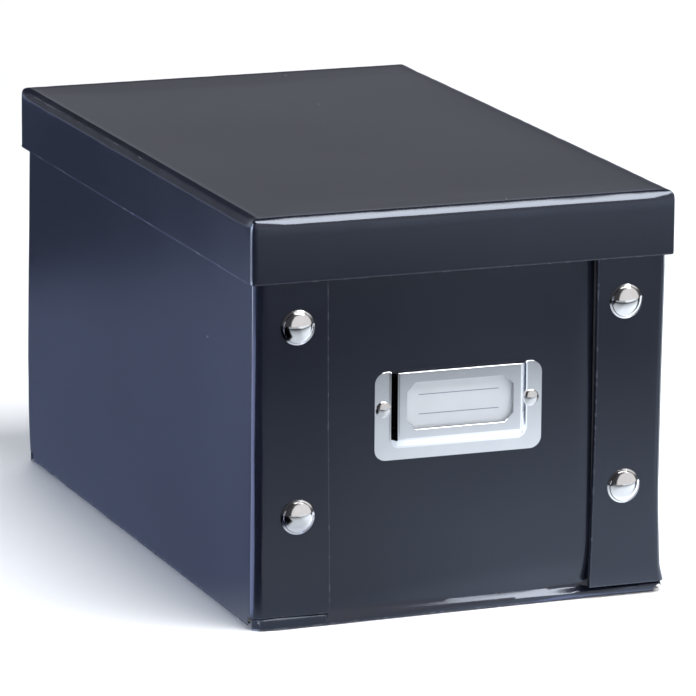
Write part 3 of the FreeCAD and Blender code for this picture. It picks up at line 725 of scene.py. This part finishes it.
lidWrap = {
    "columns": 40,
    "rows": 66,
    "foldProfile": [                        # inset from the wall's face and drop from the top
        (0.0060, 0.00012), (0.0042, 0.00010), (0.0031, 0.00003), (0.0025, 0.0), (0.00195, 0.00006),
        (0.0014, 0.00024), (0.0009, 0.00056), (0.0005, 0.00098), (0.0002, 0.00155), (0.00004, 0.0022), (0.0, 0.0036),
    ],
    "frontProfile": [                       # the front fold is pressed to a facet
        (0.0064, 0.00012), (0.0048, 0.00010), (0.0037, 0.00004), (0.0033, 0.00002), (0.0029, 0.00016),
        (0.0023, 0.00058), (0.0015, 0.00118), (0.0008, 0.00182), (0.0003, 0.00232), (0.00005, 0.0028), (0.0, 0.0036),
    ],
    "leftProfile": [                        # the left fold is broader, with a ridge along its foot
        (0.0062, 0.00012), (0.0046, 0.00010), (0.0036, 0.00002), (0.0032, 0.0), (0.0028, 0.00014),
        (0.0021, 0.00062), (0.0015, 0.00106), (0.0010, 0.00188), (0.0004, 0.00288), (0.00006, 0.00332), (0.0, 0.0037),
    ],
    "facetTaper": 0.013,
    "leftTaper": 0.007,
    "cornerLean": 0.0010,
    "cornerReach": 0.0022,
    "rightCrown": 0.0002,
    "rearCrown": 0.00015,
    "rightSpread": 0.0003,
    "leftTuck": 0.00018,
    "skirtRings": 7,
    "hemRound": 0.0006,
    "hemEase": 0.3,                         # the bend's middle lies at this share of it
    "wallDepth": 0.0016,
    "cornerZone": 0.0032,
    "cornerRadius": 0.0008,
    "seamLines": (0.0023, 0.0019, 0.0015, 0.0012),
    "weld": 0.00002,
    "taperStart": 0.001,
    "hemTuck": 0.8,                         # the left hem is crisp
    "creaseFoot": 0.0002,                   # the crease wanders a little down to here
    "creaseWidth": 0.0030,
    "creaseFace": 0.0020,
    "wander": ((90, 0.00018), (300, 0.00014)),      # scale and depth of the noise
    "wanderDrop": (0.6, 0.1),
    "rightCrownReach": 0.012,
    "rearCrownReach": 0.02,
    "endReach": 0.003,
    "topStart": 0.0055,                     # the top is not quite flat
    "topReach": 0.02,
    "topSag": 0.00008,
    "topUneven": (14, 0.00010),
    "paper": 0.0002,
}


def slide(profile, target, inset, drop, slack=0.02):
    for (inset0, drop0), (inset1, drop1), place0, place1 in zip(profile, profile[1:], target, target[1:]):
        share = (inset0 - inset) / (inset0 - inset1)
        if -slack < share < 1 + slack and near(drop, drop0 + (drop1 - drop0) * share):
            return (place0[0] + (place1[0] - place0[0]) * share - inset,
                    place0[1] + (place1[1] - place0[1]) * share - drop)
    return 0.0, 0.0


def wrapRing(half, before, after):
    extrudeBy(0, 0, after[1] - before[1])
    x, y = ((size - after[0]) / (size - before[0]) for size in half)
    bpy.ops.transform.resize(value=(x, y, 1), center_override=(0, 0, 0))


def makeLidPaper():
    look = lidWrap
    low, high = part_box("lid_cover")
    half = (high.x, high.y)
    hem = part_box("lid_lining")[0].z
    profile = [(inset, high.z - drop) for inset, drop in look["foldProfile"]]
    foldEnd = profile[-1][1]
    skirtEnd = low.z + look["hemRound"]
    for ring in range(1, look["skirtRings"]):
        profile.append((0.0, foldEnd + (skirtEnd - foldEnd) * ring / look["skirtRings"]))
    bend, depth = look["hemRound"], look["wallDepth"]
    eased = bend * look["hemEase"]
    profile += [(0.0, skirtEnd + bend), (0.0, skirtEnd), (eased, low.z + eased), (bend, low.z),
                (depth - bend, low.z), (depth - eased, low.z + eased), (depth, low.z + bend), (depth, hem)]

    clearSelection()
    bpy.ops.mesh.primitive_grid_add(x_subdivisions=look["columns"], y_subdivisions=look["rows"], size=1,
                                    location=(0, 0, profile[0][1]))
    bpy.context.object.scale = (2 * (half[0] - profile[0][0]), 2 * (half[1] - profile[0][0]), 1)
    piece = startPiece("lid_paper")
    chooseBorder(piece, lambda spot: True)
    for before, after in zip(profile, profile[1:]):
        wrapRing(half, before, after)

    def onCorner(middle, edge):
        for corner in edge.verts:
            inset = half[0] - abs(corner.co.x), half[1] - abs(corner.co.y)
            if max(inset) >= look["cornerZone"] or not near(inset[0] - inset[1], 0):
                return False
        return True

    choose(piece, "edges", onCorner)
    bpy.ops.mesh.bevel(offset=look["cornerRadius"], segments=4, affect="EDGES")
    weld(look["weld"])
    for inset in look["seamLines"]:
        cutAt("X", (inset - half[0], half[0] - inset))
    closeMesh()

    def wander(spot, edge, toSide, toEnd):
        amount = abs(sum(noise.noise(spot * scale) * deep for scale, deep in look["wander"]))
        outward = (math.copysign(1, spot.x), 0) if toSide < toEnd else (0, math.copysign(1, spot.y))
        onTop, onFace = look["wanderDrop"]
        return Vector((*outward, onTop if edge < look["creaseFace"] else onFace)) * -amount

    def settle(spot):
        toSide, toEnd = half[0] - abs(spot.x), half[1] - abs(spot.y)
        edge = min(toSide, toEnd)
        above = spot.z > foldEnd
        across, drop = slide(look["foldProfile"], look["frontProfile"], half[1] + spot.y, high.z - spot.z)
        taper = look["facetTaper"] if spot.x < 0 else look["facetTaper"] / 2
        move = Vector((0, across, -drop)) * clamp((toSide - look["taperStart"]) / taper)
        across, drop = slide(look["foldProfile"], look["leftProfile"], half[0] + spot.x, high.z - spot.z)
        move += Vector((across, 0, -drop)) * clamp((toEnd - look["taperStart"]) / look["leftTaper"])
        if near(spot.x, -half[0], bend) and spot.z < skirtEnd:
            move.x -= (half[0] + spot.x) * look["hemTuck"]
        if spot.z > foldEnd + look["creaseFoot"] and edge < look["creaseWidth"]:
            move += wander(spot, edge, toSide, toEnd)
        if above:
            crown = math.cos(math.pi * spot.y / (2 * half[1])) if spot.x > 0 else 0.0
            move.z += look["rightCrown"] * crown * fade(half[0] - spot.x, look["rightCrownReach"])
            move.z += look["rearCrown"] * fade(half[1] - spot.y, look["rearCrownReach"])
        beside = look["cornerReach"] - half[0] - spot.x
        if beside > 0 and toEnd < look["endReach"]:           # the ends lean back to the left corners
            lean = look["cornerLean"] * (beside / look["cornerReach"]) ** 2
            move.y -= math.copysign(lean, spot.y) * fade(toEnd, look["endReach"])
        if half[0] - spot.x < look["endReach"]:
            move.x += look["rightSpread"]
        if half[0] + spot.x < look["endReach"]:
            move.x += look["leftTuck"] * (0.5 + spot.y / half[1] / 2)
        if edge > look["topStart"]:
            scale, uneven = look["topUneven"]
            flat = min((edge - look["topStart"]) / look["topReach"], 1)
            move.z -= flat * (look["topSag"] + uneven * noise.noise(spot * scale))
        return move

    sculpt(piece, settle)
    thicken(piece, look["paper"])
    boards = [name for name in cadNodes if name.startswith("lid_") and name.endswith("_board")]
    return finishPiece(piece, "lid", "cover_paper", ["lid_cover", *boards], flatFaces=True)


# Side walls with their flaps

sideWrap = {
    "columns": 40,
    "rows": 26,
    "flapColumns": 20,
    "foldSteps": 8,
    "creaseSteps": 6,
    "edgeRound": 0.00035,
    "paper": 0.00018,
    "creaseRadius": 0.0010,
    "footGap": 0.0005,                      # the flaps end this far above the base
    "weld": 0.00003,
    "columnSlack": 0.00002,
    "leftBulge": [
        (0.0, -0.0004), (0.006, 0.0002), (0.02, 0.0007), (0.045, 0.0009), (0.075, 0.0005), (0.10, 0.0),
        (0.125, -0.0004),
    ],
    "frontShare": 0.15,                     # of the bulge, at the front
    "foldShape": [                          # inset from the wall and set back from the flap's face
        (0.0, 0.0031), (0.0001, 0.0027), (0.00035, 0.00225), (0.00075, 0.00175), (0.0012, 0.00135),
        (0.0019, 0.00090), (0.0026, 0.00048), (0.0032, 0.00016), (0.0037, 0.00003),
    ],
    "foldSlack": (0.0001, 0.0002),          # along the axis and in radius
    "foldWander": 0.00022,
    "wanderScale": (0.15, 55),
    "flapTilt": 0.0005,
    "tiltReach": 0.006,
    "flapTop": 0.145,
    "ripple": 0.00025,
    "rippleScale": (9, 12),
    "rippleRise": 0.02,
    "underSkirt": (0.128, 0.2),             # above this height less of the ripple is left
    "leftEdgeShift": [(0.005, 0.0014), (0.071, 0.0004), (0.127, 0.0), (0.15, 0.0)],
    "leftFoldShift": [(0.005, -0.0004), (0.05, 0.0), (0.15, 0.0)],
    "rightEdgeShift": [(0.005, -0.0005), (0.02, -0.0001), (0.076, 0.0008), (0.128, 0.0009), (0.15, 0.0)],
    "rightFoldShift": [
        (0.0, 0.0031), (0.004, 0.0025), (0.008, 0.0011), (0.015, 0.0007), (0.036, -0.0001), (0.08, 0.0),
        (0.127, 0.0005), (0.148, 0.0),
    ],
}


def makeSidePaper(side, sign):
    look = sideWrap
    low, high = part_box(f"{side}_side_cover")
    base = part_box("base_board")[1]
    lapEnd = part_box("base_cover")[1]
    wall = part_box("base_lining")[1].z
    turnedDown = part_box("front_lining")[1].z
    flapBottom = 2 * base.z + look["footGap"]
    outer = high.x if sign > 0 else -low.x
    freeEdge = abs(low.x) if sign > 0 else abs(high.x)
    fold = outer - base.x
    axisX, axisY = base.x, high.y - fold
    flapStep = (axisX - freeEdge) / look["flapColumns"]

    clearSelection()
    bpy.ops.mesh.primitive_grid_add(x_subdivisions=look["rows"], y_subdivisions=look["columns"], size=1,
                                    rotation=(0, -math.pi / 2, 0), location=(outer, 0, (flapBottom + high.z) / 2))
    bpy.context.object.scale = (high.z - flapBottom, 2 * base.y, 1)
    piece = startPiece(f"{side}_side_paper")
    for end in (-1, 1):
        chooseBorder(piece, lambda spot: near(spot.y, end * base.y))
        extrudeBy(0, end * (axisY - base.y), 0)
        chooseBorder(piece, lambda spot: near(spot.y, end * axisY))
        bpy.ops.mesh.spin(steps=look["foldSteps"], angle=-end * math.pi / 2, center=(axisX, end * axisY, 0),
                          axis=(0, 0, 1))
        for column in range(look["flapColumns"]):
            reached = axisX - (axisX - freeEdge) * column / look["flapColumns"] + look["columnSlack"]

            def atFlapEnd(middle, edge):
                first, second = (corner.co.x for corner in edge.verts)
                upright = near(first, second) and max(first, second) < reached
                return edge.is_boundary and near(middle.y, end * high.y) and upright

            choose(piece, "edges", atFlapEnd)
            extrudeBy(-flapStep, 0, 0)

    # the crease under the wall and the lap glued below the base
    chooseBorder(piece, lambda spot: near(spot.z, flapBottom) and near(spot.x, outer) and abs(spot.y) < base.y)
    radius = look["creaseRadius"]
    extrudeBy(0, 0, radius - flapBottom)
    bpy.ops.mesh.spin(steps=look["creaseSteps"], angle=math.pi / 2, center=(outer - radius, 0, radius), axis=(0, 1, 0))
    chooseBorder(piece, lambda spot: near(spot.z, 0) and abs(spot.y) < base.y)
    extrudeBy(-(outer - radius - lapEnd.x), 0, 0)
    bpy.ops.transform.resize(value=(1, lapEnd.y / base.y, 1), center_override=(0, 0, 0))

    # the edge turned in along the top: the new rim moves in by a wall, then goes down
    chooseBorder(piece, lambda spot: near(spot.z, high.z))
    extrudeBy(0, 0, 0)
    mesh = bmesh.from_edit_mesh(piece.data)
    for corner in mesh.verts:
        if corner.select:
            centre = Vector((min(corner.co.x, axisX), max(-axisY, min(axisY, corner.co.y)), corner.co.z))
            corner.co += (centre - corner.co).normalized() * wall
    bmesh.update_edit_mesh(piece.data)
    extrudeBy(0, 0, turnedDown - high.z)

    # the edges turned in along the flaps' free ends and lower ends
    for end in (-1, 1):
        for test in (lambda spot: near(spot.x, freeEdge) and spot.z > flapBottom,
                     lambda spot: near(spot.z, flapBottom) and spot.x < axisX):
            chooseBorder(piece, lambda spot: near(spot.y, end * high.y) and test(spot))
            extrudeBy(0, -end * wall, 0)
    weld(look["weld"])
    closeMesh()
    roundEdges(piece, look["edgeRound"])
    applyModifiers(piece)

    def foldStop(spot):                     # how many steps round the front fold, or nothing off it
        alongSlack, radiusSlack = look["foldSlack"]
        turned = math.atan2(-axisY - spot.y, spot.x - axisX) / (math.pi / 2)
        atWall = near(spot.y, -axisY, alongSlack)
        outside = math.hypot(spot.x - axisX, spot.y + axisY) > fold - radiusSlack
        if (0.0 < turned < 1.0001 or atWall) and outside and spot.x > axisX - alongSlack:
            return (0.0 if atWall else turned) * look["foldSteps"]
        return None

    def pressFold(spot, stop, shift, back):
        step = min(int(stop), look["foldSteps"] - 1)
        before, after = (Vector(look["foldShape"][place]) for place in (step, step + 1))
        inset, setBack = before + (after - before) * (stop - step)
        stepScale, heightScale = look["wanderScale"]
        wander = look["foldWander"] * noise.noise(Vector((step * stepScale, 0, spot.z * heightScale)))
        wander *= 2 if step > 1 else 1
        return Vector((shift + outer - inset + wander - spot.x, setBack + back - high.y - spot.y, 0))

    def settle(spot):
        across = (spot.x - freeEdge) / (outer - freeEdge)
        front = 0.5 - spot.y / high.y / 2
        atEdge, atFold = (sign * between(spot.z, look[f"{side}{part}Shift"]) for part in ("Edge", "Fold"))
        shift = (atEdge + (atFold - atEdge) * across) * front
        back = 0.0
        if sign < 0:
            shift += between(spot.z, look["leftBulge"]) * (1 - front + look["frontShare"] * front) * across
            if spot.y < 0 and spot.z < look["flapTop"]:
                back = look["flapTilt"] * max(0.0, across)
                stop = foldStop(spot)
                if stop is not None:
                    return pressFold(spot, stop, shift, back)
        alongScale, heightScale = look["rippleScale"]
        ripple = noise.noise(Vector((spot.y * alongScale, spot.z * heightScale, sign))) * look["ripple"]
        ripple *= min(across, 1) * min(spot.z / look["rippleRise"], 1)
        if spot.z > look["underSkirt"][0]:
            ripple *= look["underSkirt"][1]
        return Vector((shift + ripple, back * fade(high.y + spot.y, look["tiltReach"]), 0))

    sculpt(piece, settle)
    if sign < 0:
        mirrorPiece(piece, 0)
    thicken(piece, look["paper"])
    boards = [f"{side}_side_board", f"front_{side}_flap_board", f"rear_{side}_flap_board"]
    return finishPiece(piece, "box", "cover_paper", [f"{side}_side_cover", *boards], flatFaces=True)


# Front and rear walls

endWrap = {
    "columns": 52,
    "rows": 28,
    "creaseRadius": 0.00025,
    "creaseSteps": 3,
    "faceDepth": 0.0005,                    # only the outer face is shaped
    "footLines": (0.0012, 0.0019, 0.0026, 0.0033, 0.0040, 0.0047, 0.0054, 0.0066, 0.0085, 0.011),
    "edgeRound": 0.00035,
    "paper": 0.00018,
    "dipDepth": [(0.0, 0.0003), (0.04, 0.0006), (0.13, 0.0014)],    # the panel sinks beside the right flap
    "dipStart": [(0.0, 0.0500), (0.13, 0.0465)],
    "dipEnd": 0.0535,
    "panelTop": 0.145,
    "footBulge": [                          # a strip along the foot stands out, by this much
        (-0.077, -0.0010), (-0.0755, 0.0018), (-0.072, 0.0027), (-0.05, 0.0023), (0.0, 0.0010), (0.035, 0.0003),
        (0.047, 0.0), (0.053, -0.0002), (0.077, -0.0002),
    ],
    "footTop": [                            # between these two heights
        (-0.077, 0.0050), (-0.0505, 0.0050), (-0.02, 0.0049), (0.0, 0.0047), (0.035, 0.0045), (0.053, 0.0042),
        (0.077, 0.0046),
    ],
    "footLow": [
        (-0.077, 0.0045), (-0.0524, 0.0044), (-0.0516, 0.0013), (-0.02, 0.0021), (0.0, 0.0025), (0.035, 0.0025),
        (0.047, 0.0024), (0.053, 0.0020), (0.077, 0.0031),
    ],
    "footColumns": (-0.0755, -0.0524, -0.0516),
    "knee": [(-0.05, 0.0001), (0.0, 0.0008), (0.02, 0.0013), (0.035, 0.0018), (0.048, 0.0021), (0.077, 0.0018)],
    "kneeReach": (0.022, 0.0055),
    "footSpread": [(0.0, 0.0022), (0.0016, 0.0022), (0.0029, 0.0048), (0.0046, 0.0050), (0.0058, 0.0)],
    "spreadPlace": (0.060, 0.017),          # start and width
    "footWrap": 0.0036,
    "wrapPlace": (-0.070, 0.007),
    "nickPlace": (0.0435, 0.0028),
    "nickSpread": (0.008, 0.0016),
    "nickRise": 0.0009,
    "uneven": 0.00010,
    "unevenScale": (12, 16),
}


def makeEndPaper(end, sign):
    look = endWrap
    low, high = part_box(f"{end}_cover")
    face = abs(low.y) if sign < 0 else high.y
    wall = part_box("base_lining")[1].z
    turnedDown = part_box("front_lining")[1].z
    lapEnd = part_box("base_cover")[1]
    radius = look["creaseRadius"]

    clearSelection()
    bpy.ops.mesh.primitive_grid_add(x_subdivisions=look["columns"], y_subdivisions=look["rows"], size=1,
                                    rotation=(math.pi / 2, 0, 0), location=(0, -face, (radius + high.z) / 2))
    bpy.context.object.scale = (2 * high.x, high.z - radius, 1)
    piece = startPiece(f"{end}_paper")
    cutAt("Z", look["footLines"])
    cutAt("X", look["footColumns"])
    chooseBorder(piece, lambda spot: near(spot.z, radius))
    bpy.ops.mesh.spin(steps=look["creaseSteps"], angle=-math.pi / 2, center=(0, radius - face, radius),
                      axis=(-1, 0, 0))
    chooseBorder(piece, lambda spot: near(spot.z, 0))
    extrudeBy(0, face - radius - lapEnd.y, 0)
    bpy.ops.transform.resize(value=(lapEnd.x / high.x, 1, 1), center_override=(0, 0, 0))
    chooseBorder(piece, lambda spot: near(spot.z, high.z))
    extrudeBy(0, wall, 0)
    extrudeBy(0, 0, turnedDown - high.z)
    closeMesh()
    roundEdges(piece, look["edgeRound"])
    applyModifiers(piece)

    def settle(spot):
        move = Vector()
        if spot.y > look["faceDepth"] - face:
            return move
        onPanel = spot.z < look["panelTop"]
        dipStart = between(spot.z, look["dipStart"])
        along = clamp((spot.x - dipStart) / (look["dipEnd"] - dipStart))
        move.y += between(spot.z, look["dipDepth"]) * along * along * (3 - 2 * along) * onPanel
        footTop, footLow = between(spot.x, look["footTop"]), between(spot.x, look["footLow"])
        foot = clamp((footTop - spot.z) / (footTop - footLow))
        kneeTop, kneeLow = look["kneeReach"]
        knee = clamp((kneeTop - spot.z) / (kneeTop - kneeLow))
        knee = between(spot.x, look["knee"]) * knee * knee
        move.y += knee * (1 - foot) - between(spot.x, look["footBulge"]) * foot
        start, width = look["spreadPlace"]
        if spot.x > start:
            move.x += between(spot.z, look["footSpread"]) * (spot.x - start) / width
        start, width = look["wrapPlace"]
        if spot.x < start:
            move.x += look["footWrap"] * foot * (spot.x - start) / width
        (nickX, nickZ), (wide, tall) = look["nickPlace"], look["nickSpread"]
        nick = math.exp(-((spot.x - nickX) / wide) ** 2) * math.exp(-((spot.z - nickZ) / tall) ** 2)
        move.y -= look["nickRise"] * nick
        acrossScale, heightScale = look["unevenScale"]
        uneven = noise.noise(Vector((spot.x * acrossScale, sign, spot.z * heightScale)))
        move.y += look["uneven"] * uneven * onPanel
        return move

    sculpt(piece, settle)
    if sign > 0:
        mirrorPiece(piece, 1)
    thicken(piece, look["paper"])
    return finishPiece(piece, "box", "cover_paper", [f"{end}_cover", f"{end}_board"], flatFaces=True)


# Press stud caps

capShape = {
    "sides": 80,
    "rim": [                                # radius and height: outer edge, sloping lip, then the step to the dome
        (0.00645, -0.0002), (0.00647, 0.00010), (0.00613, 0.00034), (0.00582, 0.00056), (0.00573, 0.00076),
        (0.00564, 0.00096),
    ],
    "domeRadius": 0.00560,
    "domeFoot": 0.00105,
    "domeAngle": 38,
    "domeSteps": 18,
    "handSet": {                            # the front ones sit a little off their marks
        "front_left_upper": (0.0003, 0.0),
        "front_left_lower": (0.0006, -0.0006),
        "front_right_upper": (0.0, 0.0002),
        "front_right_lower": (0.0003, 0.0001),
    },
}


def makeStudCap():
    look = capShape
    turn = math.radians(look["domeAngle"])
    dome = look["domeRadius"] / math.sin(turn)
    profile = list(look["rim"])
    for step in range(look["domeSteps"]):
        angle = turn * (1 - step / look["domeSteps"])
        profile.append((dome * math.sin(angle), look["domeFoot"] + dome * (math.cos(angle) - math.cos(turn))))

    clearSelection()
    bpy.ops.mesh.primitive_circle_add(vertices=look["sides"], radius=profile[0][0], location=(0, 0, profile[0][1]))
    piece = startPiece("stud_cap")
    growDome(profile, (0, 0, 1), (0, 0, 0), look["domeFoot"] + dome * (1 - math.cos(turn)))
    return piece


def placeStudCaps():
    pattern = makeStudCap()
    for end, sign in (("front", -1), ("rear", 1)):
        for side in ("left", "right"):
            for row in ("lower", "upper"):
                spot = f"{end}_{side}_{row}"
                aside, above = capShape["handSet"].get(spot, (0.0, 0.0))
                low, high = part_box(f"{spot}_cap")
                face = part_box("left_side_cover")[1].y * sign
                cap = pattern.copy()
                cap.data = pattern.data.copy()
                cap.name = f"{spot}_stud_cap"
                bpy.context.scene.collection.objects.link(cap)
                turn = Matrix.Rotation(-sign * math.pi / 2, 4, "X")
                middle = ((low.x + high.x) / 2 + aside, face, (low.z + high.z) / 2 + above)
                cap.data.transform(Matrix.Translation(middle) @ turn)
                clearSelection()
                cap.select_set(True)
                bpy.context.view_layer.objects.active = cap
                finishPiece(cap, "box", "nickel", [f"{spot}_cap"], angle=20)
    bpy.data.objects.remove(pattern)


# Label holder and its card

holderShape = {
    "cornerRadius": 0.0045,
    "faceLeft": -0.02485,
    "faceRight": 0.02345,
    "faceFoot": 0.0674,
    "slope": 0.0027,
    "toe": 0.0030,
    "flangeDepth": 0.0004,
    "rise": 0.0018,
    "mouth": 0.0004,
    "windowLeft": -0.0216,
    "windowRight": 0.0202,
    "windowFoot": 0.0709,
    "windowHead": 0.0886,
    "windowCorner": 0.0034,
    "sheet": 0.0006,
    "bendRadius": 0.0005,
    "edgeCut": 0.00024,
    "cornerTuck": (0.0009, 0.0010),         # inwards and upwards
    "bendFoot": 0.6,                        # the side bends begin at this share of the tuck
    "slack": 0.00001,
}


def makeLabelHolder():
    look = holderShape
    low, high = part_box("label_holder")
    flange = high.y - look["flangeDepth"]
    clearSelection()
    bpy.ops.mesh.primitive_plane_add(size=1, rotation=(math.pi / 2, 0, 0),
                                     location=((low.x + high.x) / 2, flange, (low.z + high.z) / 2))
    bpy.context.object.scale = (high.x - low.x, high.z - low.z, 1)
    piece = startPiece("label_holder_frame")
    bpy.ops.mesh.bevel(offset=look["cornerRadius"], segments=10, affect="VERTICES")
    left, right, foot = look["faceLeft"], look["faceRight"], look["faceFoot"]
    outLeft, outRight, toeLevel = left - look["slope"], right + look["slope"], foot - look["toe"]
    mouth = high.z - look["mouth"]
    corner, slack = look["windowCorner"], look["slack"]
    windowX = (look["windowLeft"], look["windowRight"])
    windowZ = (look["windowFoot"], look["windowHead"])
    cutAt("X", [outLeft, left, right, outRight, *windowX, windowX[0] + corner, windowX[1] - corner])
    cutAt("Z", [toeLevel, foot, mouth, *windowZ, windowZ[0] + corner, windowZ[1] - corner])

    def inWindow(spot):
        return windowX[0] < spot.x < windowX[1] and windowZ[0] < spot.z < windowZ[1]

    def cutDepth(spot):
        beside = min(spot.x - windowX[0], windowX[1] - spot.x)
        above = min(spot.z - windowZ[0], windowZ[1] - spot.z)
        return beside + above - corner

    # the window, with its corners cut off, and the open mouth at the top
    for sideX, towardX in zip(windowX, (1, -1)):
        for sideZ, towardZ in zip(windowZ, (1, -1)):
            choose(piece, "faces", lambda spot, face: inWindow(spot) and abs(spot.x - sideX) < corner
                   and abs(spot.z - sideZ) < corner)
            bpy.ops.mesh.bisect(plane_co=(sideX + towardX * corner, 0, sideZ), plane_no=(towardX, 0, towardZ))
    choose(piece, "faces", lambda spot, face: inWindow(spot) and cutDepth(spot) > 0)
    bpy.ops.mesh.delete(type="FACE")
    choose(piece, "faces", lambda spot, face: spot.z > mouth and outLeft < spot.x < outRight)
    bpy.ops.mesh.delete(type="FACE")

    # the raised face, whose lower corners are tucked in
    choose(piece, "verts", lambda spot, vert: left - slack < spot.x < right + slack and spot.z > foot - slack)
    bpy.ops.transform.translate(value=(0, -look["rise"], 0))
    tuckIn, tuckUp = look["cornerTuck"]
    for x, inward in ((outLeft, 1), (outRight, -1)):
        choose(piece, "verts", lambda spot, vert: near(spot.x, x) and near(spot.z, toeLevel))
        bpy.ops.transform.translate(value=(inward * tuckIn, 0, tuckUp))
    reach = look["slope"] - tuckIn + 2 * slack

    def onBend(middle, edge):
        ends = [vert.co for vert in edge.verts]

        def lieOn(axis, *places):
            return all(any(near(getattr(point, axis), place) for place in places) for point in ends)

        if edge.is_boundary:
            return False
        if middle.z > foot and (lieOn("x", left) or lieOn("x", right)):
            return True
        if middle.z > toeLevel + tuckUp * look["bendFoot"] \
                and (lieOn("x", outLeft, outLeft + tuckIn) or lieOn("x", outRight, outRight - tuckIn)):
            return True
        if lieOn("z", foot) and left < middle.x < right:
            return True
        within = all(left - reach - 2 * slack < point.x < right + reach + 2 * slack for point in ends)
        return lieOn("z", toeLevel, toeLevel + tuckUp) and left - reach < middle.x < right + reach and within

    choose(piece, "edges", onBend)
    bpy.ops.mesh.bevel(offset=look["bendRadius"], segments=4, affect="EDGES")
    weld(slack)
    closeMesh()
    if sum(face.normal.y * face.area for face in piece.data.polygons) > 0:
        piece.data.flip_normals()
    thicken(piece, look["sheet"])
    roundEdges(piece, look["edgeCut"], segments=1)
    finishPiece(piece, "box", "nickel", ["label_holder"], angle=25, flatFaces=True)
    piece.data.materials[0] = paleNickel


cardShape = {
    "cuts": 6,
    "cornerRadius": 0.0015,
}


def makeLabelCard():
    look = cardShape
    low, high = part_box("label_card")
    centre, half = (low + high) / 2, (high - low) / 2
    clearSelection()
    bpy.ops.mesh.primitive_cube_add(size=1, location=centre)
    bpy.context.object.scale = high - low
    piece = startPiece("label_insert")
    bpy.ops.mesh.subdivide(number_cuts=look["cuts"])
    choose(piece, "edges", lambda spot, edge: near(abs(spot.x - centre.x), half.x)
           and near(abs(spot.z - centre.z), half.z))
    bpy.ops.mesh.bevel(offset=look["cornerRadius"], segments=4, affect="EDGES")
    return finishPiece(piece, "label", "label_card", ["label_card"])


# Rivets

rivetShape = {
    "sides": 40,
    "radius": 0.0031,
    "profile": [                            # shares of the radius and of the rise
        (1.0, 0.0), (1.0, 0.08), (0.97, 0.16), (0.90, 0.29), (0.80, 0.44), (0.68, 0.60), (0.54, 0.75), (0.38, 0.88),
        (0.20, 0.965),
    ],
    "rise": 0.0013,
}


def makeRivets():
    look = rivetShape
    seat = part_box("label_holder")[1].y - holderShape["flangeDepth"]
    for side in ("left", "right"):
        low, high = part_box(f"holder_rivet_{side}")
        centre = ((low.x + high.x) / 2, seat, (low.z + high.z) / 2)
        clearSelection()
        bpy.ops.mesh.primitive_circle_add(vertices=look["sides"], radius=look["radius"],
                                          rotation=(math.pi / 2, 0, 0), location=centre)
        piece = startPiece(f"{side}_rivet_head")
        growDome(look["profile"], (0, -look["rise"], 0), centre, 1)
        finishPiece(piece, "box", "nickel", [f"holder_rivet_{side}"], angle=70)
        piece.data.materials[0] = satinNickel


# Assembly

for part in frame["record"]["subparts"]:
    node = cadNodes[part["node"]]
    node.data.materials.clear()
    node.data.materials.append(finishes[part["material_slot"]])

makeLidPaper()
makeSidePaper("left", -1)
makeSidePaper("right", 1)
makeEndPaper("front", -1)
makeEndPaper("rear", 1)
placeStudCaps()
makeLabelHolder()
makeLabelCard()
makeRivets()
makeStage()
placeCamera()
